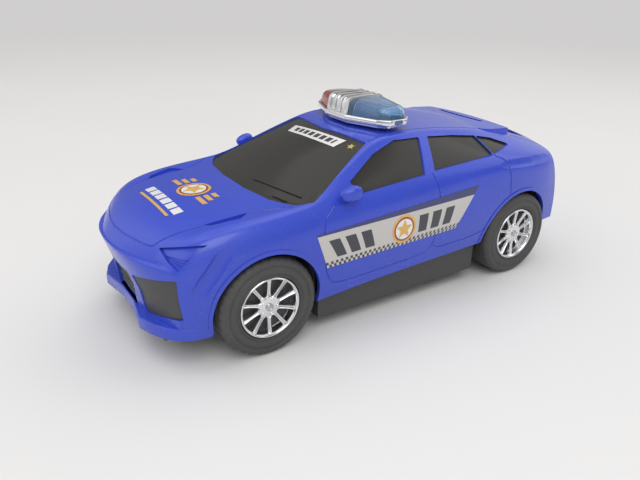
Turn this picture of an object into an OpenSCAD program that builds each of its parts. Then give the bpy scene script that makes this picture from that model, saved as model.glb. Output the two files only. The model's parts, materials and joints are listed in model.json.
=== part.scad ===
// Friction-drive toy police car: a moulded body over a chassis, with a geared flywheel on the rear axle.
// Millimetres. +X points to the nose, +Y to the car's left, +Z up. The wheels stand on z = 0.

/* [Body] */
// Overall length, nose to tail
body_l = 240; // [236:1:244]
// Width of the body at the doors
body_w = 100.6; // [99:0.1:102]
// Wall thickness of the moulded body
wall = 2; // [1.6:0.1:2.4]
// Radius of the wheel arches
arch_r = 24.6; // [24:0.1:26]
// How far the dark panes sit below the body's surface
pane_recess = 0.7; // [0.4:0.1:1]

/* [Wheels] */
// Distance between the axles
wheelbase = 150; // [146:1:154]
// How far the front axle lies ahead of the middle of the car
front_x = 68.5; // [66:0.5:71]
// Tyre diameter
tyre_d = 45; // [44:0.5:46]
// Tyre width
tyre_w = 18; // [16:0.5:19]
// Diameter of the bright wheel trim
trim_d = 28.2; // [27:0.1:29]
// Number of spokes in a wheel trim
spokes = 10; // [6:1:12]
// Distance of a tyre's outer face from the middle of the car
track_half = 49.5; // [48.5:0.1:50]
// Diameter of the steel axles
axle_d = 2.5; // [2:0.1:3]

/* [Light bar] */
// Length of the light bar, across the car
bar_l = 58; // [54:1:62]
// Depth of the light bar at its middle, along the car
bar_w = 25.2; // [24:0.2:26]
// How far the front of the light bar falls back towards its ends
bar_sweep = 6.6; // [5:0.2:8]
// Place of the light bar's pegs along the car
bar_x = -11; // [-12:0.5:-10]
// Height of the light bar's underside
bar_z = 83.8; // [83.6:0.1:84.5]
// Height of the bright tray under the lenses
tray_h = 4.4; // [4:0.1:5]
// Height of the lenses beside the divider
lens_h = 7.3; // [6:0.1:8]

/* [Drive] */
// Gear module
gear_m = 0.8; // [0.8:0.1:0.8]
// Teeth of the gear on the rear axle
axle_teeth = 27; // [27:1:27]
// Teeth of both pinions
pinion_teeth = 12; // [12:1:12]
// Teeth of the large gear on the idler
idler_teeth = 32; // [32:1:32]
// Play between meshing teeth
backlash = 0.24; // [0.2:0.02:0.3]
// Diameter of both flywheels
flywheel_d = 27.6; // [26:0.2:27.6]

/* [Chassis] */
// Height of the chassis underside above the ground
floor_z = 7; // [6:0.5:7.5]
// Thickness of the chassis floor
floor_t = 1.8; // [1.5:0.1:1.8]

/* [Hidden] */
$fn = 64;

rear_x = front_x - wheelbase;
axle_z = tyre_d / 2;
play = 0.07;
gap = 0.15;
body_blue = [0.1, 0.14, 0.75];
dark_grey = [0.16, 0.16, 0.16];
steel_grey = [0.7, 0.71, 0.73];
bright_chrome = [0.85, 0.86, 0.88];
gear_white = [0.9, 0.89, 0.84];

// Ribs of the body, nose to tail: x at the side, then [y, z] at the sill, waist, shoulder and belt,
// then the roof rail or bonnet edge as [forward, y, z], the middle as [forward, z], and the tail's slant
rib_face    = [105.3, [40.0, 14.4], [42.0, 31.0], [42.4, 40.0], [41.6, 46.2], [5.5, 30.0, 46.8], [14.7, 47.2], 0];
rib_lamp    = [102.0, [41.8, 14.6], [44.2, 31.0], [44.6, 43.0], [43.0, 51.3], [6.0, 31.0, 52.2], [13.5, 52.8], 0];
rib_wing    = [94.5, [43.6, 15.0], [46.8, 33.0], [47.4, 46.0], [44.6, 57.8], [6.0, 32.5, 56.6], [13.0, 57.6], 0];
rib_arch    = [81.5, [45.0, 15.3], [49.0, 36.0], [49.5, 49.0], [45.0, 61.0], [5.5, 33.0, 58.9], [12.5, 60.3], 0];
rib_axle    = [68.5, [46.0, 15.6], [49.8, 38.0], [50.0, 51.0], [45.2, 62.2], [6.0, 33.5, 59.9], [13.0, 61.4], 0];
rib_scuttle = [53.5, [46.5, 16.0], [49.8, 38.0], [49.8, 52.0], [45.2, 63.0], [7.0, 36.0, 60.8], [15.0, 61.8], 0];
rib_cowl    = [45.2, [46.8, 17.5], [49.8, 38.0], [49.6, 53.0], [45.6, 62.8], [3.5, 41.0, 62.3], [15.5, 62.2], 0];
rib_pillar  = [26.5, [46.5, 18.8], [49.9, 39.0], [49.8, 55.0], [46.2, 63.5], [0.0, 37.8, 71.5], [11.5, 72.4], 0];
rib_header  = [7.5, [46.5, 19.8], [50.0, 40.0], [50.0, 56.5], [46.4, 64.6], [0.0, 31.0, 80.6], [7.5, 82.3], 0];
rib_roof    = [-4.5, [46.5, 20.3], [50.0, 40.5], [50.0, 57.5], [46.4, 65.4], [0.0, 31.5, 82.6], [3.0, 83.5], 0];
rib_post    = [-26.5, [46.5, 21.0], [50.0, 41.0], [50.2, 59.0], [46.4, 67.2], [0.0, 31.5, 82.4], [0.0, 82.9], 0];
rib_door    = [-51.5, [46.5, 22.0], [50.0, 42.0], [50.3, 60.5], [46.8, 68.6], [0.0, 31.0, 79.8], [-1.0, 81.2], 0];
rib_hatch   = [-68.5, [46.5, 22.6], [50.2, 43.0], [50.4, 61.0], [47.2, 68.0], [0.0, 30.5, 76.4], [-3.0, 78.6], 0];
rib_haunch  = [-86.5, [46.3, 23.2], [50.0, 44.0], [49.8, 59.5], [46.4, 66.0], [0.0, 31.5, 72.4], [-4.0, 73.2], 0];
rib_quarter = [-102.5, [45.6, 23.8], [48.2, 44.0], [47.6, 56.0], [43.8, 63.6], [0.0, 32.0, 67.4], [-6.0, 69.8], 0];
rib_tail    = [-111.0, [43.5, 23.5], [45.0, 44.0], [44.2, 54.0], [41.4, 62.0], [0.0, 32.0, 64.2], [-4.5, 66.8], -6];
ribs = [rib_face, rib_lamp, rib_wing, rib_arch, rib_axle, rib_scuttle, rib_cowl, rib_cowl, rib_pillar,
        rib_header, rib_roof, rib_post, rib_door, rib_hatch, rib_haunch, rib_quarter, rib_tail];
// Middle of the front and rear faces, as [z, x]
nose_line = [[10.5, 113.6], [20, 113], [30, 114.3], [38, 117], [47.2, 120]];
tail_line = [[23, -118], [40, -120], [55, -118.5], [67, -115.5]];
// How squarely the front and rear faces turn into the corners
corner_power = 2.4;

// Weights of a cubic B-spline at fraction f of a span
function weights(f) = [pow(1 - f, 3), 3 * pow(f, 3) - 6 * f * f + 4,
                       3 * (f + f * f - pow(f, 3)) + 1, pow(f, 3)] / 6;
function spline(p, t) = let(i = min(floor(t), len(p) - 4)) weights(t - i) * [for (j = [0:3]) p[i + j]];
function extended(p) = let(n = len(p)) concat([2 * p[0] - p[1]], p, [2 * p[n - 1] - p[n - 2]]);
function mirrored(p) = [p[0], -p[1], p[2]];

// Control points of one rib, from below the sill up the side and just past the middle
function on_side(r, p) = [r[0] + r[7] * (r[4][1] - p[1]) / (r[4][1] - r[1][1]), p[0], p[1]];
function rib_net(r) =
    let(sill = on_side(r, r[1]), waist = on_side(r, r[2]), low = (sill + waist) / 2 + [0, 0.6, 0],
        rail = [r[0] + r[5][0], r[5][1], r[5][2]], crown = [r[0] + r[6][0], 0, r[6][1]],
        mid = [0.35 * rail[0] + 0.65 * crown[0], 0.55 * rail[1], 0.3 * rail[2] + 0.7 * crown[2]])
    [2 * sill - low, sill, low, waist, on_side(r, r[3]), on_side(r, r[4]), rail, rail, mid, crown,
     mirrored(mid)];
nets = [for (r = ribs) rib_net(r)];
net_spans = len(nets[0]) - 3;

// Half sections along the car, each from the sill up to the middle
function half_sections(along, around) = [for (i = [0:along])
    let(t = i * (len(ribs) - 1) / along,
        net = [for (j = [0:len(nets[0]) - 1]) spline(extended([for (n = nets) n[j]]), t)])
    [for (k = [0:around]) spline(net, k * net_spans / around)]];
// A point of an end face, at share c of the way out from the middle
function face_point(p, line, c) =
    [p[0] + (lookup(p[2], line) - p[0]) * (1 - pow(abs(c), corner_power)), c * p[1], p[2]];
function face_grid(half, line, around, across) = [for (k = [0:around - 1])
    each [for (c = [1:across - 1]) face_point(half[k], line, 1 - 2 * c / across)]];

// The closed outside of the car as one loft, with bowed faces at the nose and tail
module loft(along, around, across) {
    half = half_sections(along, around);
    ring = 2 * around + 1;
    last = along * ring;
    rings = [for (h = half) each concat(h, [for (k = [around - 1:-1:0]) mirrored(h[k])])];
    nose = face_grid(half[0], nose_line, around, across);
    tail = face_grid(half[along], tail_line, around, across);
    // Index of a face's grid point: its edges belong to the first or last ring
    function at(k, c, ring0, grid0) = k == around ? ring0 + around : c == 0 ? ring0 + k
        : c == across ? ring0 + 2 * around - k : grid0 + k * (across - 1) + c - 1;
    function nose_at(k, c) = at(k, c, 0, len(rings));
    function tail_at(k, c) = at(k, c, last, len(rings) + len(nose));
    sides = [for (i = [0:along - 1]) each [for (k = [0:ring - 1])
        let(a = i * ring + k, b = i * ring + (k + 1) % ring)
        each [[a, b, b + ring], [a, b + ring, a + ring]]]];
    nose_faces = [for (k = [0:around - 1]) each [for (c = [0:across - 1])
        let(a = nose_at(k, c), b = nose_at(k, c + 1), d = nose_at(k + 1, c), e = nose_at(k + 1, c + 1))
        each (k == around - 1 ? [[a, b, d]] : [[a, b, e], [a, e, d]])]];
    tail_faces = [for (k = [0:around - 1]) each [for (c = [0:across - 1])
        let(a = tail_at(k, c), b = tail_at(k, c + 1), d = tail_at(k + 1, c), e = tail_at(k + 1, c + 1))
        each (k == around - 1 ? [[b, a, d]] : [[b, a, e], [e, a, d]])]];
    nose_floor = [for (c = [1:across - 1]) [nose_at(0, 0), nose_at(0, c + 1), nose_at(0, c)]];
    tail_floor = [for (c = [1:across - 1]) [tail_at(0, 0), tail_at(0, c), tail_at(0, c + 1)]];
    polyhedron(concat(rings, nose, tail), concat(sides, nose_faces, tail_faces, nose_floor, tail_floor));
}

// The car's outside drawn in by d, for walls, panes and carriers
module drawn_in(d, fine) {
    translate([0, 0, -d])
    scale([1 - 2 * d / body_l, 1 - 2 * d / body_w, 1])
    if (fine)
        loft(40, 20, 12);
    else
        loft(26, 14, 8);
}

// Outlines of the openings: side windows as [x, z], screens as [x, y], front intakes as [y, z]
front_window = [[24.2, 67.7], [20.2, 63.7], [-14.0, 66.2], [-19.0, 79.5], [-5.0, 79.8], [8.0, 75.8]];
rear_window = [[-25.3, 79.2], [-40.7, 77.9], [-55.6, 75.9], [-59.2, 68.9], [-21.3, 67.2]];
quarter_window = [[-57.5, 75.5], [-66.3, 73.7], [-75.3, 70.5], [-61.0, 69.0]];
screen_half = [[13.2, 0], [11.2, 14], [8.6, 29.2], [30.6, 37.6], [44.4, 42.8], [50.5, 40.4], [53.6, 35.7],
               [57.0, 28.0], [59.5, 11.0], [60.2, 0]];
back_window_half = [[-84, 22], [-105, 26]];
intake = [[41.4, 41.2], [17.6, 36.2], [20.2, 20.4], [41.8, 25.0]];
centre_intake_half = [[13.2, 36.0], [11.3, 20.4]];
pane_corner = 0.6;

function both_halves(p) = concat(p, [for (q = p) [q[0], -q[1]]]);
function both_sides(p) = concat(p, [for (q = p) [-q[0], q[1]]]);

// A round-cornered prism through points; shrink leaves room round a pane
module prism(points, height, shrink) {
    hull()
    for (p = points)
        translate([p[0], p[1], 0])
        cylinder(r = pane_corner - shrink, h = height, $fn = 8);
}
module side_prism(points, side, shrink) {
    translate([0, side * 55, 0])
    rotate([90, 0, 0])
    translate([0, 0, side > 0 ? 0 : -30])
    prism(points, 30, shrink);
}
module front_prism(points, shrink) {
    translate([95, 0, 0])
    rotate([90, 0, 90])
    prism(points, 30, shrink);
}
module window_prisms(shrink) {
    for (side = [-1, 1]) {
        side_prism(front_window, side, shrink);
        side_prism(rear_window, side, shrink);
        side_prism(quarter_window, side, shrink);
        translate([0, 0, 58])
        prism([for (p = screen_half) [p[0], side * p[1]]], 30, shrink);
    }
    translate([0, 0, 58])
    prism(both_halves(back_window_half), 30, shrink);
}
module intake_prisms(shrink) {
    front_prism(intake, shrink);
    mirror([0, 1, 0])
    front_prism(intake, shrink);
    front_prism(both_sides(centre_intake_half), shrink);
}

// Body: screw posts, front lip, roof spoiler and mirrors
front_post = [94, 18];
rear_post = [-107.4, 24];
post_d = 7;
post_z = 12;
pilot_d = 2.2;
post_h = 60;
// Below this height the posts hang free of the body's wall
free_post_z = 30;
lip_half = [[92.5, 44.6], [99.5, 43.6], [105.2, 41.6], [109, 37.6], [113, 31.5], [116, 23], [113.5, 8]];
lip_z = 14.2;
lip_h = 5.6;
// Room inside the lip, as half widths beside the wheel wells and ahead of them
lip_room = [[88, 41.9], [97, 36]];
lip_front = 106;
bonnet_slot = [[88.4, 33.0], [77.0, 34.6], [71.2, 33.8]];
spoiler_half = [[-64, 27], [-72, 30], [-85.5, 29.5]];
spoiler_z = [78.6, 75.6];
spoiler_t = 1.6;
peg_y = 12;
peg_d = 4;

module in_pairs(place) {
    for (side = [-1, 1])
        translate([place[0], side * place[1], 0])
        children();
}
module screw_posts() {
    intersection() {
        for (place = [front_post, rear_post])
            in_pairs(place)
            translate([0, 0, post_z])
            cylinder(d = post_d, h = post_h, $fn = 24);
        union() {
            drawn_in(wall / 2, false);
            translate([-body_l / 2, -body_w / 2, 0])
            cube([body_l, body_w, free_post_z]);
        }
    }
}
module pilot_holes() {
    for (place = [front_post, rear_post])
        in_pairs(place)
        translate([0, 0, post_z - 1])
        cylinder(d = pilot_d, h = 16, $fn = 16);
}
module front_lip() {
    translate([0, 0, lip_z])
    linear_extrude(lip_h)
    difference() {
        polygon(concat(lip_half, [for (i = [len(lip_half) - 1:-1:0]) [lip_half[i][0], -lip_half[i][1]]]));
        for (place = lip_room)
            translate([place[0], -place[1]])
            square([place == lip_room[0] ? lip_room[1][0] - place[0] + 0.1 : lip_front - place[0], 2 * place[1]]);
    }
}
// Blade over the rear window, sloping with the roof
module spoiler() {
    hull()
    for (p = both_halves(spoiler_half))
        translate([p[0], p[1], lookup(-p[0], [[64, spoiler_z[0]], [85.5, spoiler_z[1]]]) - spoiler_t])
        cylinder(r = 1, h = spoiler_t, $fn = 12);
}
module mirror_pod(side) {
    hull()
    for (p = [[32.6, 46.6, 63.6, 2.2], [30.2, 48.8, 65.6, 3.1], [27.4, 49.3, 65.8, 2.9]])
        translate([p[0], side * p[1], p[2]])
        sphere(r = p[3], $fn = 14);
}
module bonnet_slots() {
    for (side = [-1, 1])
        hull()
        for (i = [0:2])
            translate([bonnet_slot[i][0], side * bonnet_slot[i][1], 58 + 0.7 * i])
            cylinder(r = i == 1 ? 1.4 : 0.5, h = 8, $fn = 12);
}
module wheel_openings() {
    for (x = [front_x, rear_x])
        translate([x, 0, axle_z])
        rotate([90, 0, 0])
        cylinder(r = arch_r, h = 120, center = true, $fn = 48);
}

module body_shell() {
    color(body_blue)
    difference() {
        union() {
            difference() {
                drawn_in(0, true);
                drawn_in(wall, false);
                wheel_openings();
            }
            screw_posts();
            front_lip();
            spoiler();
            mirror_pod(1);
            mirror_pod(-1);
        }
        window_prisms(0);
        intake_prisms(0);
        bonnet_slots();
        pilot_holes();
        for (side = [-1, 1])
            translate([bar_x, side * peg_y, 70])
            cylinder(d = peg_d + 2 * gap, h = 20, $fn = 24);
    }
}

// Dark glazing: panes that fill the windows, joined by a thin carrier inside the cabin
module cabin_space() {
    translate([-103, -60, 64])
    cube([158, 120, 30]);
}
module window_insert() {
    color(dark_grey)
    union() {
        intersection() {
            difference() {
                drawn_in(pane_recess, true);
                drawn_in(wall + 1.2, false);
            }
            window_prisms(gap);
        }
        difference() {
            intersection() {
                difference() {
                    drawn_in(wall + 0.3, false);
                    drawn_in(wall + 1.4, false);
                }
                cabin_space();
            }
            for (side = [-1, 1])
                translate([bar_x, side * peg_y, 70])
                cylinder(d = peg_d + 2, h = 20, $fn = 24);
        }
    }
}

// Dark intake panels at the front with slats, on a back plate inside the bumper
slat_count = 5;
slat_pitch = 3;
slat_z = 22.4;
slat_d = 1.6;
slat_inset = 2.2;
module intake_slats() {
    for (i = [0:slat_count - 1])
        let(z = slat_z + slat_pitch * i)
        hull()
        for (side = [-1, 1])
            translate([lookup(z, nose_line) - slat_inset, side * (11 + 0.35 * i), z])
            rotate([90, 0, 0])
            cylinder(d = slat_d, h = 0.2, center = true, $fn = 12);
}
module grille_insert() {
    color(dark_grey)
    union() {
        intersection() {
            difference() {
                drawn_in(pane_recess, true);
                drawn_in(wall + 1.2, false);
            }
            union() {
                front_prism(intake, gap);
                mirror([0, 1, 0])
                front_prism(intake, gap);
            }
        }
        intersection() {
            difference() {
                drawn_in(pane_recess + 1.6, true);
                drawn_in(wall + 1.4, false);
            }
            front_prism(both_sides(centre_intake_half), gap);
        }
        intersection() {
            union() {
                difference() {
                    drawn_in(wall + 0.3, false);
                    drawn_in(wall + 1.4, false);
                }
                intake_slats();
            }
            translate([101, -39, 20.1])
            cube([20, 78, 20.7]);
        }
    }
}

// Chassis: floor, sills, wheel wells, bearings and screw seats
well_r = 25.6;
well_t = 1.2;
well_y = 28.4;
well_depth = 13;
well_low = 16;
sill_x = [-55, 41.8];
sill_y = 44;
sill_top = [23.5, 19];
skirt_t = 1.6;
tail_x = -113.6;
tail_l = 5.6;
apron_y = 34;
apron_top = 22.6;
pad_x = -5;
pad = [76, 56, 0.6];
seat_d = 8.4;
head_d = 5.2;
head_h = 2;
screw_d = 2.6;
boss_d = 8;
boss_l = 4;
floor_top = floor_z + floor_t;
floor_half = [[107, 26], [96, 28], [96, 29], [sill_x[1], 29], [sill_x[1], sill_y], [sill_x[0], sill_y],
              [sill_x[0], 29], [tail_x + tail_l, 29], [tail_x + tail_l, apron_y], [tail_x, apron_y]];
module floor_plate() {
    translate([0, 0, floor_z])
    linear_extrude(floor_t)
    polygon(concat(floor_half, [for (i = [len(floor_half) - 1:-1:0]) [floor_half[i][0], -floor_half[i][1]]]));
}
module sills() {
    for (side = [-1, 1]) {
        along_y([0, 0], side > 0 ? [sill_y - skirt_t, sill_y] : [-sill_y, skirt_t - sill_y])
        polygon([[sill_x[0], floor_z], [sill_x[1], floor_z], [sill_x[1], sill_top[1]], [sill_x[0], sill_top[0]]]);
        for (x = [sill_x[0], sill_x[1] - skirt_t])
            translate([x, side > 0 ? well_y : -sill_y, floor_z])
            cube([skirt_t, sill_y - well_y, sill_top[1] - floor_z]);
    }
}
// Dark apron that closes the tail under the body
module apron() {
    translate([tail_x, -apron_y, floor_z])
    cube([skirt_t, 2 * apron_y, apron_top - floor_z]);
    for (side = [-1, 1])
        translate([tail_x, side > 0 ? apron_y - skirt_t : -apron_y, floor_z])
        cube([tail_l, skirt_t, apron_top - floor_z]);
}
// Flat pad under the floor
module rest_pad() {
    translate([pad_x - pad[0] / 2, -pad[1] / 2, floor_z - pad[2]])
    cube(pad);
}
// One wheel well, open outwards and downwards; axle_hole is the hole for the axle
module wheel_well(x, side, axle_hole) {
    translate([x, side * well_y, axle_z])
    rotate([side > 0 ? -90 : 90, 0, 0])
    difference() {
        cylinder(r = well_r + well_t, h = well_depth);
        translate([0, 0, well_t])
        cylinder(r = well_r, h = well_depth);
        cylinder(d = axle_hole, h = 3 * well_t, center = true);
        below_axle(side, axle_z - floor_z, 0);
        below_axle(side, axle_z - well_low, well_t);
    }
}
// Everything lower than drop below the axle, from depth in outwards
module below_axle(side, drop, in) {
    translate([-40, side > 0 ? drop : -drop - 40, in > 0 ? in : -1])
    cube([80, 40, well_depth + 2]);
}
module front_bearings() {
    for (side = [-1, 1])
        difference() {
            union() {
                translate([front_x, side * (well_y - boss_l / 2 + 0.2), axle_z])
                rotate([90, 0, 0])
                cylinder(d = boss_d, h = boss_l, center = true);
                translate([front_x - boss_d / 2, side * (well_y - boss_l / 2 + 0.2) - boss_l / 2, floor_z])
                cube([boss_d, boss_l, axle_z - floor_z]);
            }
            translate([front_x, 0, axle_z])
            rotate([90, 0, 0])
            cylinder(d = axle_d + 2 * play, h = 80, center = true);
        }
}
module screw_seats() {
    for (place = [front_post, rear_post])
        in_pairs(place)
        translate([0, 0, floor_z])
        cylinder(d = seat_d, h = post_z - floor_z - gap);
}
module screw_seat_holes() {
    for (place = [front_post, rear_post])
        in_pairs(place) {
            translate([0, 0, floor_z - 1])
            cylinder(d = screw_d + 0.4, h = 10);
            translate([0, 0, floor_z - 1])
            cylinder(d = head_d + 0.4, h = head_h + 1.4);
        }
    for (place = motor_lugs) {
        translate([place[0], place[1], floor_z - 1])
        cylinder(d = screw_d + 0.4, h = 10);
        translate([place[0], place[1], floor_z - 1])
        cylinder(d = head_d + 0.4, h = motor_head_z - floor_z + 1);
    }
}
module chassis() {
    color(dark_grey)
    difference() {
        union() {
            floor_plate();
            sills();
            apron();
            rest_pad();
            screw_seats();
            front_bearings();
            for (side = [-1, 1]) {
                wheel_well(front_x, side, axle_d + 2 * play);
                wheel_well(rear_x, side, 6);
            }
            for (place = motor_lugs)
                translate([place[0], place[1], floor_z])
                cylinder(d = seat_d, h = case_z0 - floor_z - gap);
        }
        screw_seat_holes();
    }
}

// Wheels: built along +Z from the inner face outwards, then turned onto the axle
hub_r = 13;
hub_l = 13.2;
seat_z = 13.4;
bore_end = 0.6;
shoulder_r = 3;
module at_wheel(x, side) {
    translate([x, side * (track_half - tyre_w), axle_z])
    rotate([side > 0 ? -90 : 90, 0, 0])
    children();
}
function corner_arc(r, z, a0) = [for (a = [0:15:90]) [r + shoulder_r * cos(a0 + a), z + shoulder_r * sin(a0 + a)]];
groove_z = [5.4, 9, 12.6];
tyre_seat = hub_r + 0.05;
module tyre(x, side) {
    color([0.2, 0.2, 0.2])
    at_wheel(x, side)
    difference() {
        rotate_extrude($fn = 96)
        polygon(concat([[tyre_seat, 0.6], [trim_d / 2 + 1.2, 0]],
                       corner_arc(tyre_d / 2 - shoulder_r, shoulder_r, -90),
                       corner_arc(tyre_d / 2 - shoulder_r, tyre_w - shoulder_r, 0),
                       [[trim_d / 2 + 1.4, tyre_w], [trim_d / 2 + gap, tyre_w - 0.8],
                        [trim_d / 2 + gap, seat_z], [tyre_seat, seat_z]]));
        for (z = groove_z)
            translate([0, 0, z - 0.4])
            difference() {
                cylinder(r = tyre_d / 2 + 1, h = 0.8, $fn = 96);
                cylinder(r = tyre_d / 2 - 0.6, h = 0.8, $fn = 96);
            }
    }
}
module wheel_hub(x, side) {
    color(dark_grey)
    at_wheel(x, side)
    difference() {
        cylinder(r = hub_r, h = hub_l);
        translate([0, 0, -1])
        difference() {
            cylinder(r = hub_r - 1.6, h = 8);
            cylinder(r = 3.6, h = 9);
        }
        translate([0, 0, -1])
        cylinder(d = axle_d, h = hub_l - bore_end + 1);
    }
}
trim_z = 13.5;
spoke_w = 1.7;
module wheel_trim(x, side) {
    trim_r = trim_d / 2;
    color(bright_chrome)
    at_wheel(x, side)
    translate([0, 0, trim_z])
    union() {
        rotate_extrude($fn = 96)
        polygon([[trim_r - 2.4, 0], [trim_r, 0], [trim_r, 3.6], [trim_r - 0.7, 4.1], [trim_r - 1.3, 3.6],
                 [trim_r - 1.9, 2.2]]);
        intersection() {
            for (i = [0:spokes - 1])
                rotate(i * 360 / spokes)
                translate([3, -spoke_w / 2, 0.8])
                cube([trim_r - 4.6, spoke_w, 1.9]);
            cylinder(r = trim_r - 0.8, h = 4);
        }
        difference() {
            cylinder(r = 5, h = 3);
            for (i = [0:spokes - 1])
                rotate((i + 0.5) * 360 / spokes)
                translate([5.2, 0, -1])
                cylinder(r = 0.9, h = 6);
        }
        cylinder(r = 2.4, h = 3.6);
    }
}
module axle(x, half_l) {
    color(steel_grey)
    translate([x, 0, axle_z])
    rotate([90, 0, 0])
    cylinder(d = axle_d, h = 2 * half_l, center = true);
}
axle_half = track_half - tyre_w + hub_l - bore_end - 0.2;
module front_axle() { axle(front_x, axle_half); }
module rear_axle() { axle(rear_x, axle_half); }

// Light bar: bright tray on two roof pegs, bright divider, and a swept-back lens at each end
divider_half = 8;
lens_wall = 1.2;
tray_step = 1.4;
tray_draw = 2;
tray_floor = 2;
tray_t = 1.2;
tab_z = 3.1;
tab_l = 3.2;
tab_h = 1.7;
front_cut = 4.6;
rear_cut = 4.2;
bar_rear = bar_x - 9;
bar_front = bar_rear + bar_w;
bar_end = bar_l / 2;
// Half outline of the bar as [x, y], from the front of the divider round the end to the straight rear
wing_half = [[bar_front, divider_half], [bar_front - bar_sweep, bar_end - front_cut],
             [bar_front - bar_sweep - front_cut, bar_end], [bar_rear + rear_cut, bar_end],
             [bar_rear, bar_end - rear_cut]];
bar_outline = concat(wing_half, [for (i = [len(wing_half) - 1:-1:0]) [wing_half[i][0], -wing_half[i][1]]]);
front_lean = bar_sweep / (bar_end - front_cut - divider_half);

function unit(v) = v / norm(v);
function quarter_turn(v) = [-v[1], v[0]];
// An anticlockwise outline drawn in by d
function inset(p, d) = let(n = len(p)) [for (i = [0:n - 1])
    let(before = quarter_turn(unit(p[i] - p[(i + n - 1) % n])),
        after = quarter_turn(unit(p[(i + 1) % n] - p[i])))
    p[i] + d * (before + after) / (1 + before * after)];
// One end of the bar from y = start outwards, drawn in by d
function wing(d, start) =
    inset(concat([[bar_front + front_lean * (divider_half - start + d), start - d]],
                 [for (i = [1:len(wing_half) - 1]) wing_half[i]], [[bar_rear, start - d]]), d);
// A closed form through rings of equally many points, lowest first
module stacked(rings) {
    n = len(rings[0]);
    top = n * (len(rings) - 1);
    sides = [for (j = [0:len(rings) - 2]) each [for (i = [0:n - 1])
        let(a = j * n + i, b = j * n + (i + 1) % n)
        each [[b, a, a + n], [b, a + n, b + n]]]];
    polyhedron([for (r = rings) each r],
               concat(sides, [[for (i = [0:n - 1]) i]], [[for (i = [n - 1:-1:0]) top + i]]));
}

module light_bar_tray() {
    color(bright_chrome)
    translate([0, 0, bar_z])
    difference() {
        union() {
            linear_extrude(tray_step)
            polygon(inset(bar_outline, tray_draw));
            translate([0, 0, tray_step])
            linear_extrude(tray_h - tray_step)
            polygon(bar_outline);
            for (side = [-1, 1])
                translate([bar_x, side * peg_y, -5])
                cylinder(d = peg_d, h = 5);
        }
        translate([0, 0, tray_floor])
        linear_extrude(tray_h)
        polygon(inset(bar_outline, tray_t));
        translate([bar_x, 0, tab_z])
        end_tab(bar_l + 2, gap);
    }
}
// Oval tab of the lenses that shows through the ends of the tray
module end_tab(l, grow) {
    rotate([90, 0, 0])
    linear_extrude(l, center = true) {
        square([tab_l, tab_h + 2 * grow], center = true);
        for (side = [-1, 1])
            translate([side * tab_l / 2, 0])
            circle(d = tab_h + 2 * grow);
    }
}
// Lenses: upright in the tray, then drawn in by steps, as [drawn in, share of the height above the tray]
lens_z = bar_z + tray_floor + gap;
lens_fit = tray_t + gap;
lens_edge = tray_h - tray_floor;
lens_end = bar_end - lens_fit;
lens_start = divider_half + gap;
lens_fall = 0.13;
lens_steps = [[0, 0], [0.9, 0.68], [3.2, 1]];
function lens_ring(d, step) = [for (p = wing(lens_fit + d + step[0], lens_start + d))
    [p[0], p[1], lens_edge - d + step[1] * (lens_h - lens_fall * (p[1] - lens_start))]];
module lens_form(d, foot) {
    stacked(concat([[for (p = wing(lens_fit + d, lens_start + d)) [p[0], p[1], foot]]],
                   [for (step = lens_steps) lens_ring(d, step)]));
}
module left_lens() {
    translate([0, 0, lens_z])
    union() {
        difference() {
            lens_form(0, 0);
            lens_form(lens_wall, -1);
        }
        intersection() {
            translate([bar_x, 0, bar_z + tab_z - lens_z])
            end_tab(bar_l - 0.4, 0);
            translate([bar_x - 5, lens_end - 1, 0])
            cube([10, 5, 5]);
        }
    }
}
module light_lens(side) {
    if (side > 0)
        left_lens();
    else
        mirror([0, 1, 0])
        left_lens();
}
module light_lens_blue() { color([0.1, 0.35, 0.9, 0.6]) light_lens(1); }
module light_lens_red() { color([0.85, 0.1, 0.12, 0.6]) light_lens(-1); }
// Divider: a block in the middle of the bar, with ridges that run over its top
ridge_w = 1.6;
ridge_h = 0.7;
function over_divider(from, to, rise) = [for (step = lens_steps)
    [from + sign(to - from) * (lens_fit + step[0]), lens_edge + step[1] * rise]];
module light_bar_divider() {
    crown = over_divider(bar_front, bar_rear, lens_h);
    heel = over_divider(bar_rear, bar_front, lens_h);
    color(bright_chrome)
    translate([0, 0, lens_z])
    union() {
        along_y([0, 0], [-divider_half, divider_half])
        polygon(concat([[heel[0][0], 0], [crown[0][0], 0]], crown, [heel[2], heel[1], heel[0]]));
        for (side = [-1, 0, 1])
            translate([heel[2][0], side * (divider_half - ridge_w / 2 - 0.2) - ridge_w / 2, lens_edge + lens_h - 0.1])
            cube([crown[2][0] - heel[2][0], ridge_w, ridge_h + 0.1]);
    }
}

// Drive: involute spur gears in the XZ plane, extruded along Y
pressure = 25;
mesh_a = 40;
mesh_b = -25;
dist_a = gear_m * (axle_teeth + pinion_teeth) / 2;
dist_b = gear_m * (idler_teeth + pinion_teeth) / 2;
axle_at = [rear_x, axle_z];
idler_at = axle_at + dist_a * [cos(mesh_a), sin(mesh_a)];
flywheel_at = idler_at + dist_b * [cos(mesh_b), sin(mesh_b)];
pin_d = 2;
first_y = [1.5, 5.5];
second_y = [-4.5, -0.5];
flank_steps = 4;

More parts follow.
